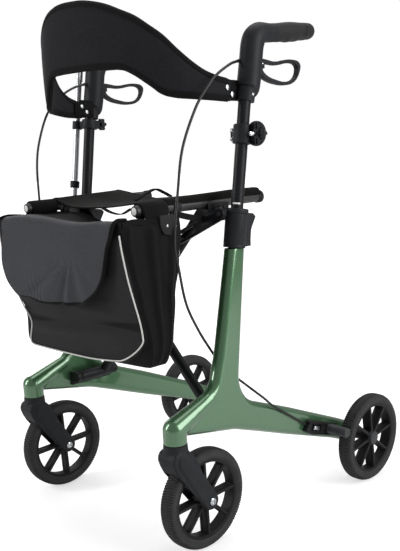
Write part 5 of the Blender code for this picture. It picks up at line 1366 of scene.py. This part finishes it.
def seat_rails(finish, plug_finish, cap_finish):
    """Seat tubes with pale plugs in front and flanged caps behind."""
    axis = Vector(on_rail(0.0, SEAT_TUBE_REAR_Y)) - Vector(on_rail(0.0, SEAT_TUBE_FRONT_Y))
    profile = [(0.0, 0.0065), (0.0002, 0.0080), (0.0012, 0.0090), (0.0030, 0.0094), (0.0080, SEAT_TUBE_RADIUS),
               (axis.length, SEAT_TUBE_RADIUS), (axis.length, 0.0065)]
    plug_profile = [(-0.0003, 0.0), (-0.0003, 0.0066), (0.010, 0.0066), (0.010, 0.0)]
    cap_profile = [(-0.0080, 0.0), (-0.0080, 0.0102), (-0.0078, 0.0112), (-0.0068, 0.0116), (-0.0048, 0.0116),
                   (-0.0042, 0.0108), (-0.0030, 0.0108), (-0.0024, 0.0117), (0.0030, 0.0117), (0.0040, 0.0108),
                   (0.0040, 0.0088), (0.0030, 0.0080), (0.0030, 0.0)]
    for label, side in SIDES:
        body = RAIL_BODY[label]
        front = on_rail(side * SEAT_TUBE_X, SEAT_TUBE_FRONT_Y)
        rear = on_rail(side * SEAT_TUBE_X, SEAT_TUBE_REAR_Y)
        tube = spun(f"seat_rail_{label}", profile, front, axis, 64)
        fit(tube, finish, body, "black_coat", f"seat_tube_{label}")
        plug = spun(f"rail_plug_{label}", plug_profile, (front[0], front[1] + 0.0004, front[2]), axis, 48)
        soften(plug, 0.0007, 2, 50)
        fit(plug, plug_finish, body, "grey_plastic")
        cap = spun(f"rail_cap_{label}", cap_profile, rear, axis, 56)
        fit(cap, cap_finish, body, "black_plastic")


def seat_brackets(finish):
    """Bands around the seat tubes, each with a plate that hangs below."""
    middle = 0.01925
    for label, side in SIDES:
        x = side * SEAT_TUBE_X
        body = rail_bar(f"rail_bracket_{label}", x, middle - 0.00825, middle + 0.00825, 0.0126, 0.0010)
        plate = box("bracket_plate", (0.0110, 0.0160, 0.0300), (x, middle, seat_tube_z(middle) - 0.0215),
                    0.0016)
        join(body, plate)
        cut(body, rail_bar("tube_room", x, -0.05, 0.10, SEAT_TUBE_RADIUS + GAP))
        fit(body, finish, RAIL_BODY[label], "black_plastic", f"seat_bracket_{label}")


# Seat sling, straps and backrest


def grid_piece(name, columns, rows, place):
    """A flat grid whose points are moved to place(u, v), both from 0 to 1."""
    bpy.ops.mesh.primitive_grid_add(x_subdivisions=columns, y_subdivisions=rows, size=1.0)
    piece = named(name)
    for corner in piece.data.vertices:
        corner.co = place(corner.co.x + 0.5, corner.co.y + 0.5)
    return piece


def seat_height(x, y):
    """The sling's height: ridges over the tubes, and a slack fall to its low line right of the middle."""
    low_x = -0.035
    back = (y - SEAT_FRONT_Y) / SEAT_DEPTH
    ridge = 0.6353 + 0.045 * min(y, 0.16)
    centre = 0.6185 + 0.0075 * back
    if x > low_x:
        share, power = (x - low_x) / (SEAT_TUBE_X - low_x), 1.5
    else:
        share, power = (low_x - x) / (SEAT_TUBE_X + low_x), 3.5 - 2.3 * smooth_step(back)
    share = min(share, 1.0)
    fold = 0.0014 * math.sin(y * 58 + x * 9) * share * (1 - share) * 4
    return centre + (ridge - centre) * share ** power + fold


def sling(finish):
    """Woven sling with a pocket along each seat tube, drawn out behind the seat, and hemmed free edges."""
    around = 0.0185

    def place(u, v):
        along = (u - 0.5) * 2 * (SEAT_TUBE_X + around)
        side = 1 if along > 0 else -1
        x = side * min(abs(along), SEAT_TUBE_X)
        drawn_out = (0.078 if side > 0 else 0.006) * smooth_step((abs(along) - 0.10) / 0.065)
        y = SEAT_FRONT_Y + v * (SEAT_DEPTH + drawn_out)
        hem = 0.0010 * math.exp(-((min(v, 1 - v) - 0.03) / 0.02) ** 2)
        z = seat_height(x, y) + hem
        if abs(along) > SEAT_TUBE_X:
            turn = (abs(along) - SEAT_TUBE_X) / around * math.pi / 2
            foot = seat_tube_z(y) + 0.0045
            x = side * (SEAT_TUBE_X + 0.0109 * math.sin(turn))
            z = foot + (z - foot) * math.cos(turn)
        return at(x, y, z)

    cloth = grid_piece("seat_sling", 130, 60, place)
    modify(cloth, "SOLIDIFY", thickness=0.0024, offset=-1.0)
    fit_soft(cloth, finish, "seat", "seat_cloth")


def webbing(name, route, width, thickness, finish, body, *nodes, across=(1.0, 0.0, 0.0)):
    """A flat strap along the route, its width along across, with rounded edges."""
    fine = flowing(route, 6)
    across = Vector(across).normalized()

    def place(u, v):
        index = min(int(u * (len(fine) - 1) + 1e-6), len(fine) - 1)
        return at(*fine[index]) + across * (v - 0.5) * width

    strap = grid_piece(name, len(fine) - 1, 6, place)
    modify(strap, "SOLIDIFY", thickness=thickness, offset=0.0)
    soften(strap, min(thickness * 0.3, 0.0005), 2, 60)
    fit(strap, finish, body, "cloth", *nodes, angle=50)
    return strap


def seat_straps(finish):
    """The peaked pull strap that folds the frame, one under the front edge and a tether by the left tube."""
    pull = [(0.0, 0.0697, 0.6271), (0.0, 0.0954, 0.6376), (0.0, 0.1219, 0.6453), (0.0, 0.1425, 0.6387),
            (0.0, 0.1617, 0.6296)]
    strap = webbing("seat_pull_strap", pull, 0.0120, 0.0030, finish, "seat", "pull_strap")
    soft_squash(strap)
    under = [(-0.0065, -0.003, 0.6170), (0.0143, -0.004, 0.6108), (0.0347, -0.004, 0.6075),
             (0.0524, -0.004, 0.6082), (0.0761, -0.003, 0.6180)]
    strap = webbing("seat_under_strap", under, 0.0100, 0.0016, finish, "seat", across=(0.0, 1.0, 0.0))
    soft_squash(strap)
    tether = [(0.1722, 0.0040, 0.6150), (0.1722, 0.0277, 0.6060), (0.1722, 0.0550, 0.5995),
              (0.1722, 0.0810, 0.5950)]
    strap = webbing("rail_tether", tether, 0.0110, 0.0020, finish, "brace_b", across=(0.0, 0.2, 1.0))


# The backrest's edges: (degrees round the strap from its left end, height)
BAND_TOP = [(0, 0.8300), (8, 0.8349), (16, 0.8432), (24, 0.8574), (32, 0.8757), (40, 0.8970), (48, 0.9136),
            (56, 0.9297), (64, 0.9412), (72, 0.9528), (80, 0.9615), (88, 0.9682), (96, 0.9712), (104, 0.9696),
            (112, 0.9627), (120, 0.951), (128, 0.936), (136, 0.918), (144, 0.899), (152, 0.879), (160, 0.853),
            (168, 0.8365), (176, 0.8265), (180, 0.824)]
BAND_BOTTOM = [(0, 0.7933), (16, 0.7960), (32, 0.7991), (36, 0.8009), (40, 0.8037), (44, 0.8090),
               (48, 0.8180), (52, 0.8263), (56, 0.8348), (60, 0.8421), (64, 0.8481), (68, 0.8505),
               (72, 0.8520), (80, 0.8539), (88, 0.8553), (96, 0.8562), (104, 0.8565), (110, 0.8550),
               (116, 0.8420), (122, 0.8200), (128, 0.8030), (134, 0.7980), (144, 0.7980), (156, 0.7963),
               (168, 0.7935), (180, 0.7930)]


def band_top(t):
    """Height of the strap's upper edge."""
    return curve_through(t, BAND_TOP)


def band_bottom(t):
    """Height of the strap's lower edge."""
    return curve_through(t, BAND_BOTTOM)


def rounder(value, power):
    """A cosine or sine drawn towards a squarer round, its sign kept."""
    return math.copysign(abs(value) ** power, value)


def band_plan(t):
    """The strap's middle seen from above: half a squarish oval that bends forwards."""
    angle = math.radians(t)
    x = BACKREST_HALF_WIDTH * rounder(math.cos(angle), 0.82)
    return Vector((x, 0.120 - 0.158 * abs(math.sin(angle)) ** 0.82))


def backrest_squash(piece):
    """The strap gets a mesh of its own."""
    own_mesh(piece)


def backrest(finish, binding_finish, rivet_finish):
    """Foam strap in a woven cover: crowned along its middle, with a taped edge above and below."""
    # The section is a squarish oval: powers of its sine and cosine, and its share of the strap's height
    upright, crowned, filled = 0.75, 0.6, 0.985

    def section(t):
        plan = band_plan(t)
        tangent = (band_plan(min(t + 0.5, 180)) - band_plan(max(t - 0.5, 0))).normalized()
        return plan, Vector((tangent.y, -tangent.x)), 0.0032 + 0.0038 * math.sin(math.radians(t)) ** 0.5

    def place(u, v):
        t = 180 * u
        plan, normal, plump = section(t)
        low = band_bottom(t)
        high = band_top(t)
        angle = 2 * math.pi * v
        lift = rounder(math.sin(angle), upright)
        bulge = rounder(math.cos(angle), crowned)
        height = (low + high) / 2 + (high - low) / 2 * lift * filled
        margin = min(high - height, height - low)
        seam = 0.0011 * math.exp(-((margin - 0.0085) / 0.0018) ** 2)
        offset = plan + normal * bulge * (plump - seam)
        return at(offset.x, offset.y, height)

    band = grid_piece("backrest_pad", 150, 64, place)
    open_up(band)
    bpy.ops.mesh.remove_doubles(threshold=0.00002)
    bpy.ops.mesh.select_all(action="DESELECT")
    bpy.ops.mesh.select_mode(type="EDGE")
    bpy.ops.mesh.select_non_manifold()
    bpy.ops.mesh.fill_holes(sides=0)
    bpy.ops.mesh.select_all(action="SELECT")
    bpy.ops.mesh.normals_make_consistent(inside=False)
    close_up()
    for side in (-1, 1):
        for y, z in RIVET_PLACES:
            cut(band, bar("rivet_hole", (side * 0.200, y, z), (side * 0.225, y, z), 0.0023, 16))
    fit(band, finish, "right_handle", "cloth", "backrest", angle=60)
    backrest_squash(band)

    # How far in from the edge each row of the tape lies on either face, and its middle row outside the edge
    inwards = (0.0090, 0.0070, 0.0050, 0.0032, 0.0018, 0.0008, 0.0002, -0.0007)
    middle_row = len(inwards) - 1
    for edge, height_of, sign in (("upper", band_top, -1), ("lower", band_bottom, 1)):

        def tape_place(u, v):
            t = 1.0 + 178 * u
            plan, normal, plump = section(t)
            half = (band_top(t) - band_bottom(t)) / 2
            row = round(v * 2 * middle_row)
            inward = inwards[min(row, 2 * middle_row - row)]
            lift = min(max((1 - inward / half) / filled, 0.0), 1.0)
            bulge = max(1 - lift ** (2 / upright), 0.0) ** (crowned / 2)
            out = 0.0 if row == middle_row else math.copysign(bulge * plump + 0.0006, middle_row - row)
            offset = plan + normal * out
            return at(offset.x, offset.y, height_of(t) + sign * inward)

        binding = grid_piece(f"backrest_binding_{edge}", 140, 2 * middle_row, tape_place)
        modify(binding, "SOLIDIFY", thickness=0.0008, offset=0.0)
        fit(binding, binding_finish, "right_handle", "cloth", angle=60)
        backrest_squash(binding)
    backrest_brackets(binding_finish, rivet_finish)


def backrest_brackets(finish, rivet_finish):
    """Plates inside the strap's ends with saddles on the sleeves and stitched tails, and two rivets each."""
    inner = BACKREST_HALF_WIDTH - 0.0062
    rivet = [(-0.0168, 0.0), (-0.0166, 0.0024), (-0.0156, 0.0040), (-0.0148, 0.0042), (-0.0148, 0.0019),
             (-0.0015, 0.0019), (-0.0015, 0.0047), (0.0008, 0.0047), (0.0016, 0.0030), (0.0018, 0.0)]
    for label, side in SIDES:
        body = box(f"strap_plate_{label}", (0.003, 0.0320, 0.025), (side * (inner - 0.0015), 0.1085, BRACKET_Z),
                   0.0008)
        saddle = box("sleeve_saddle", (0.0125, 0.018, 0.020), (side * (inner + 0.0035), 0.1295, BRACKET_Z),
                     0.0012)
        tail = box("strap_tail", (0.0060, 0.0330, 0.0345), (side * 0.2115, 0.1285, BRACKET_Z + 0.0018), 0.0022)
        join(body, saddle, tail)
        cut(body, lean_bar("sleeve_room", side, 0.78, 0.84, 0.0150))
        fit(body, finish, f"{label}_handle", "black_plastic", f"backrest_bracket_{label}")
        head_x = side * (BACKREST_HALF_WIDTH + 0.0052)
        for index, (y, z) in enumerate(RIVET_PLACES):
            head = spun(f"strap_rivet_{index}_{label}", rivet, (head_x, y, z), (side, 0.0, 0.0), 28)
            fit(head, rivet_finish, f"{label}_handle", "bright_steel")


# Bag

BAG_TOP_FRONT = [(-0.20, 0.5995), (-0.165, 0.6025), (-0.110, 0.6065), (-0.047, 0.6040), (-0.008, 0.6005),
                 (0.039, 0.5975), (0.085, 0.5985), (0.120, 0.6010), (0.153, 0.6015), (0.20, 0.6085)]
BAG_TOP_REAR = [(-0.20, 0.6085), (-0.145, 0.6080), (-0.085, 0.6060), (-0.029, 0.5924), (0.007, 0.5878),
                (0.100, 0.5880), (0.160, 0.5945), (0.20, 0.5985)]
FRONT_WAIST = [(0.345, -0.168), (0.3564, -0.180), (0.3767, -0.1687), (0.3924, -0.1600), (0.4067, -0.1610),
               (0.4313, -0.177), (0.470, -0.186), (0.520, -0.188), (0.610, -0.190)]
BAG_FRONT = [(0.337, -0.078), (0.360, -0.081), (0.400, -0.086), (0.420, -0.0887), (0.470, -0.1012),
             (0.520, -0.1130), (0.5855, -0.1205), (0.610, -0.1205)]
BAG_REAR = [(0.345, -0.034), (0.360, -0.027), (0.392, -0.019), (0.468, -0.010), (0.533, 0.004), (0.572, 0.011),
            (0.610, 0.010)]


def corner_drop(z, start, radius):
    """A round corner's share: 0 above its start, and 1 a radius below, along a quarter of a circle."""
    drop = min(max((start - z) / radius, 0.0), 1.0)
    return 1 - math.sqrt(max(1 - drop ** 2, 0.0))


def bag_left_x(z, front):
    """The bag's edge on the user's left: upright, then a wide round corner, widest in the front panel."""
    return BAG_HALF_WIDTH - (0.022 + 0.178 * front) * corner_drop(z, 0.415, 0.075)


def bag_right_x(z, front):
    """The bag's edge on the user's right: the front panel is drawn in below the flap."""
    waist = curve_through(z, [(0.337, -0.190), (0.365, -0.195), (0.400, -0.186), (0.450, -0.187),
                              (0.520, -0.188), (0.61, -0.190)])
    rear = waist + 0.024 * corner_drop(z, 0.365, 0.026)
    return rear + (curve_through(z, FRONT_WAIST) - rear) * front


def bag_top_z(x, back):
    """Height of the bag's top; back runs from 0 at its front edge to 1 at its rear edge."""
    front = curve_through(x, BAG_TOP_FRONT)
    return front + (curve_through(x, BAG_TOP_REAR) - front) * smooth_step(back)


def bag_point(u, v, w):
    """A point of the bag for a point of a cube from -1 to 1: u across, v from front to back, w upwards."""
    hang = (w + 1) / 2
    back = (v + 1) / 2
    plain_x = BAG_HALF_WIDTH * u
    low = 0.3462 + 0.0045 * smooth_step((plain_x + 0.02) / 0.15)
    z = low + (bag_top_z(plain_x, back) - low) * hang
    left = bag_left_x(z, smooth_step((-0.50 - v) / 0.50))
    right = bag_right_x(z, smooth_step((-0.80 - v) / 0.20))
    x = (left + right) / 2 + (left - right) / 2 * u
    front = between(z, BAG_FRONT)
    rear = between(z, BAG_REAR)
    y = (front + rear) / 2 + (rear - front) / 2 * v
    if v < -0.999:
        puff = 0.007 * (1 - u ** 2) * (1 - w ** 2)
        board = z - 0.3879 - (x + 0.1487) * 0.0714
        crease = 0.0055 * math.exp(-(board / 0.007) ** 2) - 0.0045 * math.exp(-((board - 0.017) / 0.010) ** 2)
        wrinkle = z - 0.4475 + (x - 0.045) * 0.05
        crease += 0.0040 * math.exp(-(wrinkle / 0.008) ** 2) * smooth_step((x + 0.02) / 0.06)
        y -= puff + crease * (1 - u ** 6)
    if v > 0.999:
        y += 0.006 * (1 - u ** 2) * (1 - w ** 2)
    if abs(u) > 0.999:
        wobble = 0.035 * math.sin(5.5 * hang + 0.6) + 0.015 * math.sin(13.0 * hang)
        folds = 0.0
        for place, size, width in SIDE_RIDGES:
            folds += size * math.exp(-((back - place - wobble * (1.4 - place)) / width) ** 2)
        folds *= (0.40 + 0.60 * hang) * smooth_step((1 - abs(w)) / 0.12)
        x += math.copysign(0.003 * (1 - v ** 2) * (1 - w ** 4) + folds, u)
    if w > 0.999:
        z -= 0.006 * (1 - u ** 2) * (1 - v ** 2)
    if w < -0.999:
        z -= 0.003 * (1 - u ** 2) * (1 - v ** 2)
    return x, y, z


# Soft ridges of the bag's sides: (share of the depth, height, width)
SIDE_RIDGES = ((0.15, 0.0080, 0.055), (0.50, 0.0110, 0.085), (0.84, 0.0082, 0.06))


def bag_body():
    """Sewn bag as one shell: a subdivided block drawn into the bag's shape, opened at its mouth."""
    bpy.ops.mesh.primitive_cube_add(size=2.0)
    bag = named("bag_shell")
    open_up(bag)
    bpy.ops.mesh.subdivide(number_cuts=47)
    close_up()
    labels = [tuple(corner.co) for corner in bag.data.vertices]
    for corner, (u, v, w) in zip(bag.data.vertices, labels):
        corner.co = at(*bag_point(u, v, w))

    def at_mouth(face):
        corners = [labels[index] for index in face.vertices]
        u, v, w = (sum(corner[axis] for corner in corners) / len(corners) for axis in range(3))
        return w > 0.999 and -0.80 < v < -0.30 and abs(u) < 0.80

    pick_faces(bag, at_mouth)
    bpy.ops.mesh.delete(type="FACE")
    close_up()
    modify(bag, "SMOOTH", factor=0.5, iterations=2)
    modify(bag, "SOLIDIFY", thickness=0.0020, offset=-1.0)
    return bag


def bag_set(finish, flap_finish, binding_finish, piping_finish, plate_finish, bolt_finish):
    """The bag with its light piping in front and behind, flap, loops, rim tapes and corner plates."""
    bag = bag_body()
    fit_soft(bag, finish, "bag", "bag")

    seam = [(0.1868, -0.1212, 0.5850), (0.1880, -0.1188, 0.5578), (0.1885, -0.1102, 0.5097),
            (0.1890, -0.0998, 0.4685), (0.1895, -0.0915, 0.4353), (0.1895, -0.0880, 0.4120),
            (0.1875, -0.0868, 0.4029), (0.1780, -0.0855, 0.3925), (0.1601, -0.0843, 0.3790),
            (0.1329, -0.0825, 0.3642), (0.1080, -0.0815, 0.3564), (0.0575, -0.0818, 0.3510),
            (0.0179, -0.0822, 0.3485), (-0.0636, -0.0818, 0.3475), (-0.1350, -0.0805, 0.3472),
            (-0.1690, -0.0805, 0.3485), (-0.1770, -0.0810, 0.3564), (-0.1680, -0.0835, 0.3767),
            (-0.1600, -0.0855, 0.3924), (-0.1610, -0.0875, 0.4067), (-0.1755, -0.0920, 0.4313),
            (-0.1850, -0.1040, 0.4800), (-0.1875, -0.1165, 0.5400), (-0.1880, -0.1200, 0.5800)]
    route = [(x, y - 0.0010, z) for x, y, z in flowing(seam, 6)]
    piping = pipe("bag_piping_front", route, 0.0014, 10)
    fit_soft(piping, piping_finish, "bag", angle=35)

    rear = [(0.1885, 0.0070, 0.5750), (0.1890, 0.0045, 0.5500), (0.1890, -0.0010, 0.5200),
            (0.1890, -0.0125, 0.4680), (0.1885, -0.0205, 0.4300), (0.1860, -0.0280, 0.3950),
            (0.1760, -0.0345, 0.3720), (0.1530, -0.0400, 0.3580)]
    piping = pipe("bag_piping_rear", flowing(rear, 6), 0.0010, 8)
    fit_soft(piping, piping_finish, "bag", angle=35)
    bag_flap(flap_finish, binding_finish)
    bag_loops(binding_finish)
    rim = [(0.1915, -0.1180, 0.6000), (0.1918, -0.1000, 0.6040), (0.1918, -0.0800, 0.6035),
           (0.1918, -0.0500, 0.6000), (0.1918, -0.0200, 0.5955), (0.1915, 0.0050, 0.5935)]
    for label, side in SIDES:
        tape = webbing(f"bag_rim_tape_{label}", [(side * x, y, z) for x, y, z in rim], 0.0100, 0.0012,
                       binding_finish, "bag", across=(0.0, 0.0, 1.0))
        soft_squash(tape)
    corner_plates(plate_finish, bolt_finish)


def corner_plates(finish, bolt_finish):
    """Stiff plates at the bag's upper rear corners, bolted through its sides."""
    outline = rounded([(-0.042, 0.6110, 0.005), (-0.010, 0.6110, 0.006), (-0.001, 0.6000, 0.005),
                       (-0.003, 0.5840, 0.005), (-0.018, 0.5765, 0.010), (-0.034, 0.5790, 0.009),
                       (-0.041, 0.5930, 0.008)], 5)
    for label, side in SIDES:
        plate = slab(f"bag_corner_plate_{label}", outline, "x", side * 0.1945, side * 0.0032)
        soften(plate, 0.0010, 3, 50)
        fit(plate, finish, "bag", "black_plastic")
        soft_squash(plate)
        for index, (y, z, size) in enumerate(((-0.0263, 0.5929, 1.0), (-0.0075, 0.5911, 0.6))):
            head = [(along, radius * size) for along, radius in BUTTON_HEAD]
            bolt = spun(f"bag_corner_bolt_{index}_{label}", head, (side * 0.1963, y, z), (side, 0.0, 0.0), 28)
            fit(bolt, bolt_finish, "bag", "bright_steel")
            soft_squash(bolt)


# The flap's outline: (share from hinge to hem, distance across), and its hem's height for each place across
FLAP_EDGE_LEFT = [(0.0, 0.176), (0.16, 0.1775), (0.29, 0.170), (0.399, 0.1601), (0.707, 0.1411), (0.83, 0.127),
                  (0.905, 0.1120), (0.968, 0.0930), (1.0, 0.0750)]
FLAP_EDGE_RIGHT = [(0.0, -0.163), (0.16, -0.164), (0.277, -0.1655), (0.417, -0.1698), (0.630, -0.1772),
                   (0.743, -0.1750), (0.852, -0.1674), (0.950, -0.1501), (1.0, -0.1350)]
FLAP_HEM = [(-0.20, 0.4620), (-0.1355, 0.4594), (-0.0724, 0.4571), (-0.0433, 0.4545), (0.0175, 0.4576),
            (0.0752, 0.4629), (0.13, 0.4700)]
# Folds that fan out below the flap's middle: (slope from their common point, width, depth)
FLAP_FOLDS = ((-1.75, 0.20, -0.0034), (-1.20, 0.30, 0.0038), (-0.56, 0.13, -0.0050), (-0.33, 0.16, 0.0036),
              (0.02, 0.20, -0.0024), (0.42, 0.28, 0.0034))


def flap_point(u, s):
    """A point of the flap: u across from right to left, s from the hinge over the front edge and down."""
    left = curve_through(s, FLAP_EDGE_LEFT)
    right = curve_through(s, FLAP_EDGE_RIGHT)
    x = right + (left - right) * u
    roof, bend, drop = 0.015, 0.0236, 0.1576
    bend_radius = 0.0150
    hinge_y = -0.0980
    travelled = s * (roof + drop)
    top = bag_top_z(x, 0.0) + FLAP_GAP
    if travelled < roof:
        y = hinge_y - travelled
        z = bag_top_z(x, (y - BAG_FRONT_Y) / BAG_TOP_DEPTH) + FLAP_GAP
    else:
        down = travelled - roof
        turn = min(down / bend, 1.0) * math.pi / 2
        y = hinge_y - roof - bend_radius * math.sin(turn)
        z = top - bend_radius * (1 - math.cos(turn))
        share = max((down - bend) / (drop - bend), 0.0)
        z -= share * (top - bend_radius - curve_through(x, FLAP_HEM))
        below = 0.552 - z
        if below > 0.0:
            slope = (x - 0.061) / max(below, 0.02)
            folds = sum(size * math.exp(-((slope - place) / width) ** 2) for place, width, size in FLAP_FOLDS)
            scallop = 0.0008 * math.sin(x * 450) * math.exp(-((x + 0.065) / 0.030) ** 2) * share ** 3
            y -= folds * smooth_step(below / 0.09) + scallop
        y += 0.0035 * share ** 2
    y -= 0.0025 * math.sin(math.pi * u) * math.sin(math.pi * min(max((s - 0.3) / 0.7, 0.0), 1.0))
    return x, y, z


def bag_flap(finish, binding_finish):
    """Flap panel, the strip that hinges it on the bag's top, and the piping along its three free edges."""
    flap = grid_piece("bag_flap_panel", 120, 84, lambda u, v: at(*flap_point(u, v)))
    modify(flap, "SOLIDIFY", thickness=0.0022, offset=0.0)
    fit_soft(flap, finish, "bag_flap", "bag_flap")

    def strip_place(u, v):
        x = -0.163 + 0.339 * u
        y = -0.0790 - 0.0225 * v
        return at(x, y, bag_top_z(x, (y - BAG_FRONT_Y) / BAG_TOP_DEPTH) + 0.0030)

    strip = grid_piece("bag_flap_hinge", 60, 6, strip_place)
    modify(strip, "SOLIDIFY", thickness=0.0012, offset=0.0)
    fit_soft(strip, binding_finish, "bag_flap")

    shares = [step / 60 for step in range(60)]
    route = [*((0.0, share) for share in shares), *((share, 1.0) for share in shares),
             *((1.0, 1.0 - share) for share in (*shares, 1.0))]
    points = [(*flap_point(u, s), 0.0014 + 0.0022 * smooth_step(u / 0.9)) for u, s in route]
    binding = pipe("bag_flap_binding", points, sides=12)
    fit_soft(binding, binding_finish, "bag_flap", angle=35)


def bag_loops(finish):
    """Fabric loops around the seat tubes, each sewn to the bag's side by a tab."""
    for label, side in SIDES:
        y = -0.037
        z = seat_tube_z(y)
        x = side * SEAT_TUBE_X
        profile = [(0.0, 0.0108), (0.0, 0.0134), (0.002, 0.0140), (0.055, 0.0140), (0.057, 0.0134),
                   (0.057, 0.0108)]
        loop = spun(f"bag_loop_{label}", profile, (x, y - 0.025, z - 0.0005), (0.0, 1.0, 0.019), 48)
        drape = [(0.1758, z + 0.004), (0.1786, z + 0.004), (0.1815, 0.6100), (0.1880, 0.6040), (0.1935, 0.5960),
                 (0.1938, 0.5850), (0.1912, 0.5850), (0.1905, 0.5950), (0.1850, 0.6020), (0.1780, 0.6085)]
        tab = slab("loop_tab", flipped(drape, side), "y", y + 0.003, 0.053)
        soften(tab, 0.0006, 2, 50)
        join(loop, tab)
        fit_soft(loop, finish, "bag", angle=35)


# Everything together


def build():
    """Camera, light and finishes first, then every piece from the frames up to the bag."""
    photograph_camera()
    studio()
    green = metallic_lacquer()
    coat = powder_coat()
    # Painted light: the seat tubes take a lighter copy of the black powder coat, standing in for light that the
    # sling keeps off them
    lightened_rail_coat = powder_coat("gloss_powder_coat_painted_light", "2b2b2c", 0.5)
    nylon = moulded_plastic("moulded_nylon_black", "1e1f22", "27282c", 0.50)
    fork_nylon = moulded_plastic("fork_nylon_black", "1d1e21", "26272b", 0.55)
    rim_plastic = moulded_plastic("rim_polypropylene_black", "161617", "1f1f20", 0.52)
    grey = moulded_plastic("brake_shoe_grey", "333436", "434446", 0.45)
    hub_grey = moulded_plastic("hub_cap_dark_grey", "38393a", "434446", 0.50)
    tyre = tyre_rubber()
    rubber = grip_rubber()
    zinc = bright_metal("zinc_plated_steel", "b4b8bb", "dfe2e4", 0.26, (1.0, 1.0, 1.0))
    anodised = bright_metal("anodised_aluminium", "c3c6c9", "e4e6e8", 0.32, (1.0, 1.0, 0.06))
    white_plug = plain_moulding("polyethylene_plug_white", "f2f2f0", 0.45)
    cable_skin = plain_moulding("pvc_cable_jacket_black", "131314", 0.42)
    piping = plain_moulding("reflective_piping", "d4d4d0", 0.40, 0.3)
    # The bag cloth's panels other than its front are painted darker, as painted shade
    bag_cloth = woven_cloth("polyester_bag_cloth", "1f1f20", "2a2a2c", 1.6, 0.70, shaded_panels=("0c0b0c", "151314"))
    flap_cloth = woven_cloth("polyester_flap_cloth", "2f2f32", "404145", 1.6, 0.62, 0.06, 0.20)
    seat_cloth = woven_cloth("nylon_seat_sling", "080807", "100f0d", 2.0)
    pad_cloth = woven_cloth("backrest_cover_cloth", "19191b", "242427", 1.4, depth=0.2)
    tape = woven_cloth("grosgrain_binding_tape", "0e0e0f", "161617", 1.2)
    webbing_cloth = woven_cloth("polypropylene_webbing", "101011", "1a1a1b", 1.8)

    frame_moulding(green)
    post_collar(nylon)
    quick_lever(nylon)
    handle_tube(coat, white_plug)
    handle_sleeve(nylon, zinc)
    rubber_grip(rubber)
    brake_lever(nylon)
    brake_cables(cable_skin, nylon)
    left_clip(nylon, zinc)
    right_clip(nylon)
    walking_stick(anodised, nylon)
    wheels(tyre, rim_plastic, zinc, hub_grey, coat)
    caster_fork(fork_nylon)
    brake_unit(rim_plastic, zinc, grey)
    fold_bracket(coat)
    brace_bar("cross_brace_a", 1, BRACE_A_Y, 0.0245, coat, "brace_a", "brace_a")
    brace_bar("cross_brace_b", -1, BRACE_B_Y, 0.053, coat, "brace_b", "brace_b")
    centre_bolt(zinc)
    guide_links(coat)
    seat_rails(lightened_rail_coat, white_plug, nylon)
    seat_brackets(nylon)
    sling(seat_cloth)
    seat_straps(webbing_cloth)
    backrest(pad_cloth, tape, zinc)
    bag_set(bag_cloth, flap_cloth, tape, piping, rim_plastic, zinc)


build()
